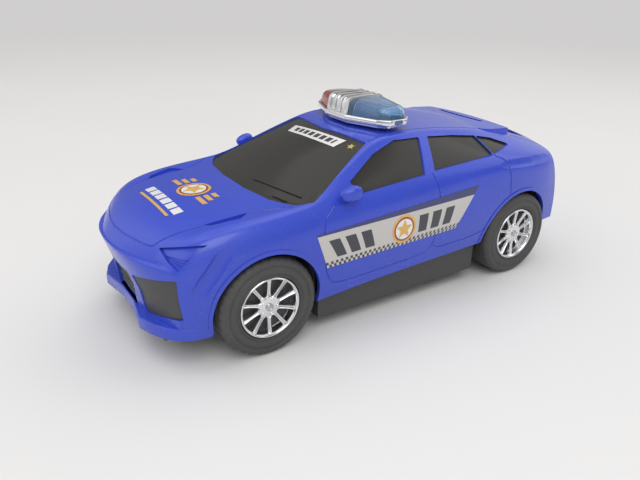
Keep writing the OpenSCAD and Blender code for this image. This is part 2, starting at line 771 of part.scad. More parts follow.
function involute_angle(base, r) = let(a = acos(min(1, base / r))) tan(a) * 180 / PI - a;
function gear_outline(teeth, phase) =
    let(pitch = gear_m * teeth / 2, base = pitch * cos(pressure), tip = pitch + gear_m,
        root = pitch - 1.2 * gear_m, start = max(base, root),
        half = 90 / teeth - backlash / 4 / pitch * 180 / PI + involute_angle(base, pitch),
        radii = [for (i = [0:flank_steps]) start + (tip - start) * i / flank_steps],
        flank = concat([[root, half - involute_angle(base, start)]],
                       [for (r = radii) [r, half - involute_angle(base, r)]]),
        n = len(flank))
    [for (i = [0:teeth - 1]) let(a = phase + i * 360 / teeth)
        each concat([for (p = flank) p[0] * [cos(a - p[1]), sin(a - p[1])]],
                    [for (j = [n - 1:-1:0]) flank[j][0] * [cos(a + flank[j][1]), sin(a + flank[j][1])]])];
module along_y(at, y) {
    translate([at[0], y[1], at[1]])
    rotate([90, 0, 0])
    linear_extrude(y[1] - y[0])
    children();
}
module spur(at, y, teeth, phase) {
    along_y(at, y)
    polygon(gear_outline(teeth, phase));
}
module disc(at, y, d) {
    along_y(at, y)
    circle(d = d);
}

module axle_gear() {
    color(gear_white)
    difference() {
        union() {
            spur(axle_at, first_y, axle_teeth, mesh_a);
            disc(axle_at, [first_y[0] - 1, first_y[1] + 0.2], 7);
        }
        disc(axle_at, [-20, 20], axle_d);
    }
}
module idler_gear() {
    color(gear_white)
    difference() {
        union() {
            spur(idler_at, [second_y[1] - 0.5, first_y[1]], pinion_teeth, mesh_a + 180 + 180 / pinion_teeth);
            spur(idler_at, second_y, idler_teeth, mesh_b);
            disc(idler_at, [first_y[1] - 0.1, flywheel_y[1]], idler_hub_d);
        }
        disc(idler_at, [-20, 20], pin_d + 2 * play);
    }
}
module idler_pin() {
    color(steel_grey)
    disc(idler_at, [-case_half, case_half], pin_d);
}
module flywheel_shaft() {
    color(steel_grey)
    union() {
        spur(flywheel_at, [second_y[0] - 0.5, second_y[1] + 0.5], pinion_teeth, mesh_b + 180 + 180 / pinion_teeth);
        disc(flywheel_at, [-case_half, case_half], pin_d);
    }
}
// One flywheel rides on the idler, left of the gears, and one on the flywheel shaft, right of them
flywheel_y = [6.2, 18.2];
idler_hub_d = 6;
module flywheel(at, y, bore) {
    color(steel_grey)
    difference() {
        disc(at, y, flywheel_d);
        disc(at, [-20, 20], bore);
    }
}
module flywheel_left() { flywheel(idler_at, flywheel_y, idler_hub_d); }
module flywheel_right() { flywheel(flywheel_at, [-flywheel_y[1], -flywheel_y[0]], pin_d); }

// Motor case: two trays that meet at y = 0
case_half = 19.7;
case_t = 1.2;
case_x = [rear_x - 13.6, flywheel_at[0] + 16];
case_z0 = floor_top + 0.2;
case_z1 = idler_at[1] + 15.6;
case_posts = [[case_x[0] + 3.6, case_z1 - 3.8], [case_x[1] - 3.6, case_z1 - 3.8]];
case_post_d = 5;
case_screw_d = 1.8;
lug = [7, 8, 5];
motor_lugs = [[case_x[0] - lug[0] / 2, -7], [case_x[1] + lug[0] / 2, 7]];
motor_head_z = floor_z + 1;
module case_box(grow) {
    translate([case_x[0] - grow, 0, case_z0 - grow])
    cube([case_x[1] - case_x[0] + 2 * grow, case_half + grow, case_z1 - case_z0 + 2 * grow]);
}
// The left tray, with a post for each case screw and a lug for a motor screw
module case_tray(lug_x, post_hole) {
    difference() {
        union() {
            difference() {
                case_box(0);
                translate([case_x[0] + case_t, -1, case_z0 + case_t])
                cube([case_x[1] - case_x[0] - 2 * case_t, case_half - case_t + 1, case_z1 - case_z0 - 2 * case_t]);
            }
            for (p = case_posts)
                disc(p, [0, case_half], case_post_d);
            translate([lug_x - lug[0] / 2 - 0.1, 7 - lug[1] / 2, case_z0])
            cube([lug[0] + 0.2, lug[1], lug[2]]);
        }
        disc(axle_at, [-1, case_half + 1], axle_d + 2 * play);
        disc(idler_at, [-1, case_half + 1], pin_d);
        disc(flywheel_at, [-1, case_half + 1], pin_d + 2 * play);
        for (p = case_posts)
            disc(p, [-1, case_half + 1], post_hole);
        translate([lug_x, 7, case_z0 - 1])
        cylinder(d = pilot_d, h = 20);
    }
}
module motor_case_left() {
    color([0.25, 0.25, 0.27])
    translate([0, 0.03, 0])
    case_tray(motor_lugs[1][0], case_screw_d);
}
module motor_case_right() {
    color([0.25, 0.25, 0.27])
    mirror([0, 1, 0])
    translate([0, 0.03, 0])
    case_tray(motor_lugs[0][0], case_screw_d + 0.3);
}

// Fasteners: head at the start, shank along +Z
module screw(shank_d, shank_l, pan_d, pan_h) {
    difference() {
        union() {
            cylinder(d = pan_d, h = pan_h);
            cylinder(d = shank_d, h = pan_h + shank_l);
        }
        for (a = [0, 90])
            rotate(a)
            translate([-pan_d * 0.3, -0.3, -1])
            cube([pan_d * 0.6, 0.6, 1.7]);
    }
}
module case_screws() {
    color(steel_grey)
    for (p = case_posts)
        translate([p[0], -case_half - 1.3, p[1]])
        rotate([-90, 0, 0])
        screw(case_screw_d, 2 * case_half - 5.4, 3.6, 1.2);
}
module motor_screws() {
    color(steel_grey)
    for (p = motor_lugs)
        translate([p[0], p[1], motor_head_z - 0.8])
        screw(pilot_d, 6, head_d - 1, 0.8);
}
module body_screws() {
    color(steel_grey)
    for (place = [front_post, rear_post])
        in_pairs(place)
        translate([0, 0, floor_z + 0.4])
        screw(pilot_d, 14, head_d, head_h);
}

module tyre_front_left() { tyre(front_x, 1); }
module tyre_front_right() { tyre(front_x, -1); }
module tyre_rear_left() { tyre(rear_x, 1); }
module tyre_rear_right() { tyre(rear_x, -1); }
module wheel_hub_front_left() { wheel_hub(front_x, 1); }
module wheel_hub_front_right() { wheel_hub(front_x, -1); }
module wheel_hub_rear_left() { wheel_hub(rear_x, 1); }
module wheel_hub_rear_right() { wheel_hub(rear_x, -1); }
module wheel_trim_front_left() { wheel_trim(front_x, 1); }
module wheel_trim_front_right() { wheel_trim(front_x, -1); }
module wheel_trim_rear_left() { wheel_trim(rear_x, 1); }
module wheel_trim_rear_right() { wheel_trim(rear_x, -1); }

body_shell();
window_insert();
grille_insert();
chassis();
light_bar_tray();
light_bar_divider();
light_lens_blue();
light_lens_red();
front_axle();
rear_axle();
tyre_front_left();
tyre_front_right();
tyre_rear_left();
tyre_rear_right();
wheel_hub_front_left();
wheel_hub_front_right();
wheel_hub_rear_left();
wheel_hub_rear_right();
wheel_trim_front_left();
wheel_trim_front_right();
wheel_trim_rear_left();
wheel_trim_rear_right();
axle_gear();
idler_gear();
idler_pin();
flywheel_shaft();
flywheel_left();
flywheel_right();
motor_case_left();
motor_case_right();
case_screws();
motor_screws();
body_screws();
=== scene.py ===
"""Looks of a friction-drive toy police car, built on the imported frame."""
import functools
import json
import math

import bmesh
import bpy
from mathutils import Matrix, Vector
from mathutils.bvhtree import BVHTree


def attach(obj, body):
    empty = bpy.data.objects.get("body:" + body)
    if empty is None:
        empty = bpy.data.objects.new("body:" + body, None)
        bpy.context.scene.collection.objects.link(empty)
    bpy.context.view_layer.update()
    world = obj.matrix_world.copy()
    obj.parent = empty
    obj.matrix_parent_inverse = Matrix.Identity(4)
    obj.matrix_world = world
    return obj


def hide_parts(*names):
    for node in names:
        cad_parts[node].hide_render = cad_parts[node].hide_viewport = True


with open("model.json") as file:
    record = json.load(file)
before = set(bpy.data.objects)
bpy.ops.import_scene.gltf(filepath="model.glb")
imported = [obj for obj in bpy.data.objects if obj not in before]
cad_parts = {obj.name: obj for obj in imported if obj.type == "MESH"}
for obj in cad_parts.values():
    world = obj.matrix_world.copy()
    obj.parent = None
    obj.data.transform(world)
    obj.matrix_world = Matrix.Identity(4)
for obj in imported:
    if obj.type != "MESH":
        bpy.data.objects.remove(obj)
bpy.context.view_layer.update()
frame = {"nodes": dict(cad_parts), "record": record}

bl_info = {
    "name": "Toy police car",
    "version": (1, 0, 0),
    "blender": (4, 5, 0),
    "location": "View3D > Sidebar > Toy car",
    "description": "Builds the body, glazing, light bar, wheels and labels of a toy police car",
    "category": "Object",
}

MM = 0.001
BODY_L = 240
BODY_W = 100.6
FRONT_X = 68.5
REAR_X = -81.5
AXLE_Z = 22.5
TYRE_D = 45
TYRE_W = 18
TRACK_HALF = 49.5
TYRE_ROUND = 3
TYRE_GROOVES = (5.4, 9.0, 12.6)
TYRE_STEPS = 180
NOTCH_DEPTH = 0.35
NOTCH_STEPS = 5
TRIM_SEAT = 13.5
TRIM_STEPS = 120
SPOKE_ROOT = 4.2
SPOKE_L = 8.6
BOLTS = 5
BOLT_AT = 3.7
CORNER_POWER = 2.4

# Edges of the arch lips, from the radius of the arch, and half the length of tools that pass through both sides
LIP_EDGES = (-0.6, 1.7)
PAST_SIDES = 60

# Angles in degrees past which an edge stays sharp
BODY_CREASE = 34
BRIGHT_CREASE = 40
TYRE_CREASE = 38
LABEL_CREASE = 30

# Steps along, around and across the faces inside the walls
COARSE = (80, 36, 24)

# Where lines of sight start, left of the car, over it and behind it
LEFT_OF_CAR = 90
OVER_CAR = 120
BEHIND_CAR = -150

# Light bar: the box of its outline, the windows in its ends and the tabs in them as (radius, from, to), its pegs, and
# the gap of the lenses inside the tray
BAR_X = -11
BAR_Z = 83.8
BAR_FRONT = 5.2
BAR_REAR = -20
BAR_END = 29
DIVIDER_HALF = 8
BAR_CORNER = 1.4
END_WINDOW = (1.0, 26.5, 31)
LENS_TAB = (0.85, 27.2, 28.85)
PEG_R = 2
PEG_Y = 12
PEG_Z = (79, 84.2)
LENS_CORNER = 0.9
LENS_GAP = 1.35
LENS_H = 7.4
LENS_FALL = 0.13

# Ribs of the body, nose to tail, as in the part's source: x at the side, [y, z] at sill, waist, shoulder and
# belt, the roof rail as (forward, y, z), the middle as (forward, z), and the tail's slant
RIBS = [
    (105.3, (40.0, 14.4), (42.0, 31.0), (42.4, 40.0), (41.6, 46.2), (5.5, 30.0, 46.8), (14.7, 47.2), 0),
    (102.0, (41.8, 14.6), (44.2, 31.0), (44.6, 43.0), (43.0, 51.3), (6.0, 31.0, 52.2), (13.5, 52.8), 0),
    (94.5, (43.6, 15.0), (46.8, 33.0), (47.4, 46.0), (44.6, 57.8), (6.0, 32.5, 56.6), (13.0, 57.6), 0),
    (81.5, (45.0, 15.3), (49.0, 36.0), (49.5, 49.0), (45.0, 61.0), (5.5, 33.0, 58.9), (12.5, 60.3), 0),
    (68.5, (46.0, 15.6), (49.8, 38.0), (50.0, 51.0), (45.2, 62.2), (6.0, 33.5, 59.9), (13.0, 61.4), 0),
    (53.5, (46.5, 16.0), (49.8, 38.0), (49.8, 52.0), (45.2, 63.0), (7.0, 36.0, 60.8), (15.0, 61.8), 0),
    (45.2, (46.8, 17.5), (49.8, 38.0), (49.6, 53.0), (45.6, 62.8), (3.5, 41.0, 62.3), (15.5, 62.2), 0),
    (45.2, (46.8, 17.5), (49.8, 38.0), (49.6, 53.0), (45.6, 62.8), (3.5, 41.0, 62.3), (15.5, 62.2), 0),
    (26.5, (46.5, 18.8), (49.9, 39.0), (49.8, 55.0), (46.2, 63.5), (0.0, 37.8, 71.5), (11.5, 72.4), 0),
    (7.5, (46.5, 19.8), (50.0, 40.0), (50.0, 56.5), (46.4, 64.6), (0.0, 31.0, 80.6), (7.5, 82.3), 0),
    (-4.5, (46.5, 20.3), (50.0, 40.5), (50.0, 57.5), (46.4, 65.4), (0.0, 31.5, 82.6), (3.0, 83.5), 0),
    (-26.5, (46.5, 21.0), (50.0, 41.0), (50.2, 59.0), (46.4, 67.2), (0.0, 31.5, 82.4), (0.0, 82.9), 0),
    (-51.5, (46.5, 22.0), (50.0, 42.0), (50.3, 60.5), (46.8, 68.6), (0.0, 31.0, 79.8), (-1.0, 81.2), 0),
    (-68.5, (46.5, 22.6), (50.2, 43.0), (50.4, 61.0), (47.2, 68.0), (0.0, 30.5, 76.4), (-3.0, 78.6), 0),
    (-86.5, (46.3, 23.2), (50.0, 44.0), (49.8, 59.5), (46.4, 66.0), (0.0, 31.5, 72.4), (-4.0, 73.2), 0),
    (-102.5, (45.6, 23.8), (48.2, 44.0), (47.6, 56.0), (43.8, 63.6), (0.0, 32.0, 67.4), (-6.0, 69.8), 0),
    (-111.0, (43.5, 23.5), (45.0, 44.0), (44.2, 54.0), (41.4, 62.0), (0.0, 32.0, 64.2), (-4.5, 66.8), -6),
]
NOSE_LINE = [(10.5, 113.6), (20, 113), (30, 114.3), (38, 117), (47.2, 120)]
TAIL_LINE = [(23, -118), (40, -120), (55, -118.5), (67, -115.5)]

# Openings, in millimetres: side windows as (x, z), screens as (x, y), intakes as (y, z)
FRONT_WINDOW = [(24.2, 67.7), (20.2, 63.7), (-14.0, 66.2), (-19.0, 79.5), (-5.0, 79.8), (8.0, 75.8)]
REAR_WINDOW = [(-25.3, 79.2), (-40.7, 77.9), (-55.6, 75.9), (-59.2, 68.9), (-21.3, 67.2)]
QUARTER_WINDOW = [(-57.5, 75.5), (-66.3, 73.7), (-75.3, 70.5), (-61.0, 69.0)]
SCREEN_HALF = [(11.2, 14), (8.6, 29.2), (30.6, 37.6), (44.4, 42.8), (50.5, 40.4), (53.6, 35.7), (57.0, 28.0),
               (59.5, 11.0)]
SCREEN = [(13.2, 0)] + SCREEN_HALF + [(x, -y) for x, y in reversed(SCREEN_HALF)]
BACK_WINDOW = [(-84, 22), (-105, 26), (-105, -26), (-84, -22)]
INTAKE = [(41.4, 41.2), (17.6, 36.2), (20.2, 20.4), (41.8, 25.0)]
CENTRE_INTAKE = [(13.2, 36.0), (-13.2, 36.0), (-11.3, 20.4), (11.3, 20.4)]
PANE_CORNER = 0.6
PANE_GAP = 0.1
PANE_BACK = 2.7
PANEL_WALL = 1.6
SLATS = 5
SLAT_Z = 22.4
SLAT_PITCH = 3
SLAT_HALF = 11.4
SLAT_WIDENS = 0.35
SLAT_BOW = 0.002
SLAT_SINK = 2.0
SLAT_R = 0.75
WIPER_R = 0.32
WIPER_SINK = 0.45
WIPERS = [[(53.6, 6.9), (50.7, 21.8), (46.6, 36.6)], [(54.1, 25.5), (53.2, 29.7), (52.3, 33.9)]]

# Reach of the cutting tools, from inside the wall to well outside it
SIDE_REACH = (25, 56)
TOP_REACH = (58, 90)
BONNET_REACH = (50, 80)
NOSE_REACH = (95, 126)
TAIL_REACH = (-90, -125)
LAMP_REACH = (-5, 8)

# Shut lines: on the side as (x, z), on top as (x, y), on the tail as (y, z)
FRONT_DOOR = [(35.5, 61.2), (41.0, 57.2), (42.6, 52.5), (43.0, 44), (41.8, 34), (39.0, 26.6), (34, 24.6),
              (10, 25.2), (-14, 26.3), (-19.5, 28.5), (-21.8, 36), (-22.4, 46), (-21.6, 57), (-18.6, 66.4)]
REAR_DOOR_FOOT = [(-21.0, 30.5), (-24, 28.2), (-30, 27.8), (-50, 28.6), (-57.4, 31.0)]
REAR_DOOR_EDGE = [(-60.6, 68.2), (-66.8, 65.6), (-69.2, 59.8), (-71.0, 47.6)]
BONNET = [(115.0, 0), (114.3, 9.7), (111.4, 21), (109.1, 27.5), (106.2, 28.8), (94.7, 32.3), (88.4, 33.0)]
BONNET_REAR = [(71.2, 33.8), (62, 36.6), (53, 41.6)]
ROOF_CHANNEL = [(7, 29.6), (-10, 28.4), (-19.6, 27.8), (-38.3, 28.2), (-63, 28.2)]
HATCH_TOP = [(-87, 31), (-104, 33.4), (-113, 33.6)]
HATCH_TAIL = [(-33.5, 61.5), (-34, 52), (-30, 47.5), (0, 47.5), (30, 47.5), (34, 52), (33.5, 61.5)]
BUMPER_TAIL = [(-41, 35.2), (0, 34), (41, 35.2)]

# Shallow reliefs
BONNET_SLOT = [(88.6, 32.9), (71.0, 33.8), (75.9, 38.0), (86.7, 35.2)]
HEADLAMP = [(107.3, 30.8, 52.2), (92.8, 43.9, 55.1), (104.6, 41.7, 45.8), (106.6, 36.6, 48.6)]
HEADLAMP_FACING = (0.74, 0.6, 0.3)
TAIL_LAMP = [(22, 60.0), (40, 58.4), (42, 52.2), (24, 54.2)]
EXHAUST = [(21, 30.8), (34, 30.8), (32.5, 27.6), (22.5, 27.6)]
PLATE = [(-13, 45.0), (13, 45.0), (13, 38.0), (-13, 38.0)]
LAMP_DEPTH = 1.0
SLOT_DEPTH = 1.3
TAIL_LAMP_DEPTH = 1.0
EXHAUST_DEPTH = 1.2
PLATE_DEPTH = 0.6
LAMP_RIBS = (0.14, 0.26, 0.38)
LAMP_RIB_R = 0.5
LAMP_RIB_SINK = 1.45

# Soft channels on the side, as (x, z), with the radius and the depth of each
WING_SCOOP = [(99.0, 35.0), (92.6, 43.4), (86.2, 51.8)]
SHOULDER = [(-62, 63.4), (-85, 62.4), (-108, 60.4)]
CHANNELS = [(WING_SCOOP, 5.5, 1.8), (SHOULDER, 10, 0.6)]

# Front lip as (x, y): its edge, and its root inside the bumper
LIP_HALF = [(92.5, 44.6), (99.5, 43.6), (105.2, 41.6), (109, 37.6), (113, 31.5), (116, 23), (113.5, 8), (113.3, 0)]
LIP_ROOT = [(92.5, 42.0), (98.2, 40.8), (101.5, 38.6), (103.5, 34.5), (105.5, 28.5), (107, 20), (106, 7), (106, 0)]
LIP_Z = (14.2, 19.8)

# Roof spoiler: from and to, then half width and top by distance behind the middle, and its slot
SPOILER_X = (-64, -86)
SPOILER_HALF = [(64, 27.0), (72, 30.4), (86, 30.2)]
SPOILER_TOP = [(64, 78.5), (76, 77.6), (86, 76.9)]
SPOILER_ARCH = 0.0012
SPOILER_WALL = 1.5
SPOILER_TAPER = 0.6
SPOILER_FENCE = 3.6
SLOT_AT = (-78.6, 76.7)
SLOT_BEND = (0.008, 0.0016)
SLOT_HALF = 16
SLOT_R = 1.5

# Left mirror: middle and half sizes of the pod, and the line of its arm
MIRROR_AT = (29.5, 48.9, 65.7)
MIRROR_HALF = (4.8, 2.75, 3.1)
MIRROR_ARM = [(31.4, 44.4, 62.2), (30.8, 46.4, 63.3), (30.2, 48.4, 64.6)]
MIRROR_ARM_R = 1.7

# Half outline of the light bar as (x, y), from the front of the divider round the end to the rear
WING_HALF = [(BAR_FRONT, DIVIDER_HALF), (-1.4, 24.4), (-6.0, BAR_END), (-15.8, BAR_END), (BAR_REAR, 24.8)]
FRONT_LEAN = (BAR_FRONT - WING_HALF[1][0]) / (WING_HALF[1][1] - DIVIDER_HALF)

# Levels of the light bar as (drawn in, height): its tray; then with the share of the lens height: lens and its room
TRAY_LEVELS = [(2.6, 0.0), (2.1, 0.25), (2.0, 1.2), (0.6, 1.45), (0.15, 1.7), (0.0, 2.1), (0.0, 4.0), (0.2, 4.3),
               (0.5, 4.4), (0.9, 4.4), (1.2, 4.2), (1.2, 2.05)]
LENS_LEVELS = [(0.0, 2.2, 0), (0.0, 4.3, 0), (0.15, 4.4, 0.12), (0.45, 4.4, 0.42), (0.85, 4.4, 0.66),
               (1.3, 4.4, 0.8), (2.0, 4.4, 0.92), (2.8, 4.4, 0.985), (3.6, 4.4, 1.0)]
ROOM_LEVELS = [(1.2, 2.1, 0), (1.2, 3.4, 0), (1.7, 3.4, 0.42), (2.3, 3.4, 0.7), (4.2, 3.4, 0.98)]
LENS_START = 8.15
ROOM_START = 9.3
RIDGES = (-7, -2.4, 2.4, 7)
RIDGE_HALF = 0.8
RIDGE_H = 0.5

# Labels: doors as (x, z), bonnet and windscreen as (x, y)
DOOR_FILM = [(41.1, 34.2), (-34.1, 36.4), (-44.1, 52.3), (46.3, 49.6)]
DOOR_BAND = [(46.3, 49.6), (-44.1, 52.3), (-47.0, 56.5), (46.3, 50.3)]
DOOR_MEDAL = (-0.5, 43.6)
DOOR_MEDAL_R = 6.9
DOOR_MEDAL_LIFT = 0.24
BONNET_MEDAL = (79, -1)
BONNET_MEDAL_R = 7.6
BONNET_MEDAL_LIFT = 0.2
BONNET_BARS = [(9.4, 17.5), (9.6, 15.6), (9.4, 13.6)]
BONNET_BAR_X = 82.5
BONNET_BAR_W = 2.2
BONNET_BAR_PITCH = 3.6
BONNET_BLOCKS = 6
BONNET_BLOCK_PITCH = 6.1
BONNET_BLOCK = [(95.6, -2.3), (95.6, 2.3), (91.4, 2.5), (91.4, -2.5)]
BONNET_LINE = [(98.6, -16), (98.6, 16), (97.4, 16.4), (97.4, -16.4)]
STRIP = [(21.5, -17.0), (19.3, 19.9), (12.6, 20.6), (16.0, -18.5)]
STRIP_BOW = 1.3
STRIP_STAR = (13.9, 26.0)
STRIP_STAR_R = 2.0
DOOR_SIZE = (88, 16.5)
STRIP_SIZE = (37, 6.5)
FILM = 0.1
ON_BODY = 0.16
ON_SCREEN = -0.5

# Stage, in metres: where the floor fades into the backdrop, lamps as (name, place, size, power), turn of the sky's
# bright sides, and the camera's place and angles
BACKDROP = (0.63, 0.62, 0.62, 1)
FLOOR_SIZE = 16
FLOOR_FADE = (0.4, 1.6)
LAMPS = [("key", (0.35, 0.75, 1.1), 0.9, 5.0), ("fill", (1.1, 0.1, 0.6), 0.8, 1.8),
         ("top", (-0.2, -0.3, 1.3), 1.2, 2.4), ("back", (-0.9, 0.5, 0.7), 0.7, 1.3)]
LAMP_AIM = (0, 0, 0.04)
SKY_TURN = -2.4
CAMERA_AT = (0.1756, 0.2447, 0.1541)
CAMERA_AZIMUTH, CAMERA_HEIGHT, CAMERA_ROLL = [math.radians(a) for a in (56.244, 24.233, 1.194)]
CAMERA_LENS = 34.81


def weights(f):
    """Weights of a cubic B-spline at fraction f of a span."""
    return ((1 - f) ** 3 / 6, (3 * f ** 3 - 6 * f * f + 4) / 6, (3 * (f + f * f - f ** 3) + 1) / 6, f ** 3 / 6)


def spline(points, t):
    i = min(int(t), len(points) - 4)
    w = weights(t - i)
    return tuple(sum(w[j] * points[i + j][a] for j in range(4)) for a in range(3))


def beyond(a, b):
    """The point as far past a as b is before it."""
    return tuple(2 * p - q for p, q in zip(a, b))


def extended(points):
    return [beyond(points[0], points[1])] + points + [beyond(points[-1], points[-2])]


def rib_net(rib):
    """Control points of one rib, from below the sill up the side and just past the middle."""
    x, sill, waist, shoulder, belt, rail, crown, slant = rib

    def side(p):
        return (x + slant * (belt[1] - p[1]) / (belt[1] - sill[1]), p[0], p[1])
    foot, hip = side(sill), side(waist)
    low = ((foot[0] + hip[0]) / 2, (foot[1] + hip[1]) / 2 + 0.6, (foot[2] + hip[2]) / 2)
    edge = (x + rail[0], rail[1], rail[2])
    top = (x + crown[0], 0, crown[1])
    mid = (0.35 * edge[0] + 0.65 * top[0], 0.55 * edge[1], 0.3 * edge[2] + 0.7 * top[2])
    return [beyond(foot, low), foot, low, hip, side(shoulder), side(belt), edge, edge, mid, top,
            (mid[0], -mid[1], mid[2])]


def lookup(value, line):
    """Straight-line value of a table of (place, value) pairs."""
    for (a, p), (b, q) in zip(line, line[1:]):
        if value <= b:
            return p + (q - p) * max(0, value - a) / (b - a)
    return line[-1][1]


@functools.cache
def half_sections(along, around):
    """Sections of the car's left half from nose to tail, each from the sill up to the middle."""
    columns = [extended(list(column)) for column in zip(*[rib_net(rib) for rib in RIBS])]
    spans = len(columns) - 3
    half = []
    for i in range(along + 1):
        net = [spline(column, i * (len(RIBS) - 1) / along) for column in columns]
        half.append([spline(net, k * spans / around) for k in range(around + 1)])
    return half


def outside(inset=0, along=160, around=64, across=40):
    """Vertices and faces of the car's closed outside, drawn in by inset millimetres."""
    half = half_sections(along, around)
    ring = 2 * around + 1
    points = []
    for h in half:
        points += h + [(p[0], -p[1], p[2]) for p in reversed(h[:-1])]
    faces = [(i * ring + k, i * ring + (k + 1) % ring, (i + 1) * ring + (k + 1) % ring, (i + 1) * ring + k)
             for i in range(along) for k in range(ring)]
    for edge, line, ring0 in ((half[0], NOSE_LINE, 0), (half[-1], TAIL_LINE, along * ring)):
        grid0 = len(points)
        for k in range(around):
            x, y, z = edge[k]
            for c in range(1, across):
                share = 1 - 2 * c / across
                bow = 1 - abs(share) ** CORNER_POWER
                points.append((x + (lookup(z, line) - x) * bow, share * y, z))

        def at(k, c):
            if k == around:
                return ring0 + around
            if c in (0, across):
                return ring0 + (k if c == 0 else 2 * around - k)
            return grid0 + k * (across - 1) + c - 1
        for k in range(around):
            for c in range(across):
                corners = (at(k, c), at(k, c + 1), at(k + 1, c + 1), at(k + 1, c))
                faces.append(corners if k < around - 1 else corners[:3])
        faces.append(tuple(at(0, c) for c in range(across + 1)))
    sx, sy = 1 - 2 * inset / BODY_L, 1 - 2 * inset / BODY_W
    return [(x * sx, y * sy, z - inset) for x, y, z in points], faces


def make(name, form):
    """A mesh object from vertices in millimetres and faces, with its faces turned outwards."""
    mesh = bpy.data.meshes.new(name)
    mesh.from_pydata([(x * MM, y * MM, z * MM) for x, y, z in form[0]], [], form[1])
    bm = bmesh.new()
    bm.from_mesh(mesh)
    bmesh.ops.recalc_face_normals(bm, faces=bm.faces)
    bm.to_mesh(mesh)
    bm.free()
    piece = bpy.data.objects.new(name, mesh)
    bpy.context.scene.collection.objects.link(piece)
    return piece


def pick(piece):
    bpy.ops.object.select_all(action="DESELECT")
    piece.select_set(True)
    bpy.context.view_layer.objects.active = piece


def apply(piece, modifier):
    pick(piece)
    bpy.ops.object.modifier_apply(modifier=modifier.name)


def combine(piece, tool, operation="DIFFERENCE"):
    """Cuts, joins or keeps what tool covers of piece; the tool is used up."""
    modifier = piece.modifiers.new("form", "BOOLEAN")
    modifier.operation = operation
    modifier.solver = "MANIFOLD"
    modifier.object = tool
    apply(piece, modifier)
    bpy.data.objects.remove(tool)
    if not piece.data.polygons:
        raise RuntimeError("nothing is left of " + piece.name)


def cut(piece, name, *forms):
    """Cuts forms out of a piece, one by one."""
    for form in forms:
        combine(piece, make(name, form))


def inlay(name, edge, recess, back):
    """A plate inside the prism edge, from recess below the car's outside down to the form back."""
    plate = make(name, outside(recess))
    cut(plate, "back", back)
    combine(plate, make("edge", edge), "INTERSECT")
    return plate


def joined(pieces):
    pick(pieces[0])
    for piece in pieces:
        piece.select_set(True)
    bpy.ops.object.join()
    return pieces[0]


def soften(piece, width, segments=2):
    """Rounds the sharp edges of a piece."""
    modifier = piece.modifiers.new("soft edges", "BEVEL")
    modifier.width = width * MM
    modifier.segments = segments
    modifier.limit_method = "ANGLE"
    modifier.angle_limit = math.radians(35)
    modifier.use_clamp_overlap = True
    apply(piece, modifier)


def smooth(piece, angle):
    pick(piece)
    bpy.ops.object.shade_smooth_by_angle(angle=math.radians(angle))


def merged(*forms):
    points, faces = [], []
    for p, f in forms:
        start = len(points)
        points += list(p)
        faces += [tuple(i + start for i in face) for face in f]
    return points, faces


def moved(form, place):
    return [place(*p) for p in form[0]], form[1]


def across_car(form):
    """The same form on the car's other side."""
    return [(x, -y, z) for x, y, z in form[0]], form[1]


def both_sides(form):
    return form, across_car(form)


def stack(rings):
    """A closed form through rings of equally many points."""
    n = len(rings[0])
    faces = [(j * n + i, j * n + (i + 1) % n, (j + 1) * n + (i + 1) % n, (j + 1) * n + i)
             for j in range(len(rings) - 1) for i in range(n)]
    faces += [tuple(range(n)), tuple(range((len(rings) - 1) * n, len(rings) * n))]
    return [p for ring in rings for p in ring], faces


def circle(r, z, n, wave=lambda i: 0):
    """A ring of n points; wave(i) adds to the radius."""
    turns = [2 * math.pi * i / n for i in range(n)]
    return [((r + wave(i)) * math.cos(a), (r + wave(i)) * math.sin(a), z) for i, a in enumerate(turns)]


def turned(profile, n, wave=lambda i, j: 0):
    """A ring turned from a closed profile of (r, z); wave(i, j) adds to the radius."""
    m = len(profile)
    points = []
    for i in range(n):
        a = 2 * math.pi * i / n
        for j, (r, z) in enumerate(profile):
            r += wave(i, j)
            points.append((r * math.cos(a), r * math.sin(a), z))
    faces = [(i * m + j, i * m + (j + 1) % m, (i + 1) % n * m + (j + 1) % m, (i + 1) % n * m + j)
             for i in range(n) for j in range(m)]
    return points, faces


def rounded(points, r, steps=5):
    """An outline grown by r with round outer corners."""
    area = sum(a[0] * b[1] - b[0] * a[1] for a, b in zip(points, points[1:] + points[:1]))
    points = list(points) if area > 0 else list(reversed(points))
    out = []
    for i, b in enumerate(points):
        a, c = points[i - 1], points[(i + 1) % len(points)]
        t0 = math.atan2(b[1] - a[1], b[0] - a[0]) - math.pi / 2
        turn = (math.atan2(c[1] - b[1], c[0] - b[0]) - math.pi / 2 - t0 + math.pi) % (2 * math.pi) - math.pi
        if turn > 0:
            out += [(b[0] + r * math.cos(t0 + turn * k / steps), b[1] + r * math.sin(t0 + turn * k / steps))
                    for k in range(steps + 1)]
        else:
            reach = r / math.cos(turn / 2)
            out.append((b[0] + reach * math.cos(t0 + turn / 2), b[1] + reach * math.sin(t0 + turn / 2)))
    return out


def prism(outline, place, near, far):
    """A prism over an outline; place turns (a, b, depth) into a point."""
    return stack([[place(a, b, near) for a, b in outline], [place(a, b, far) for a, b in outline]])


def on_side(a, b, depth):
    return (a, depth, b)


def on_top(a, b, depth):
    return (a, b, depth)


def on_end(a, b, depth):
    return (depth, a, b)


def window_prisms(grow):
    for sign in (1, -1):
        for outline in (FRONT_WINDOW, REAR_WINDOW, QUARTER_WINDOW):
            yield prism(rounded(outline, grow), on_side, *[sign * y for y in SIDE_REACH])
    for outline in (SCREEN, BACK_WINDOW):
        yield prism(rounded(outline, grow), on_top, *TOP_REACH)


def intake_prisms(grow):
    """The two side intakes, then the one in the middle."""
    for outline in (INTAKE, [(-y, z) for y, z in INTAKE], CENTRE_INTAKE):
        yield prism(rounded(outline, grow), on_end, *NOSE_REACH)


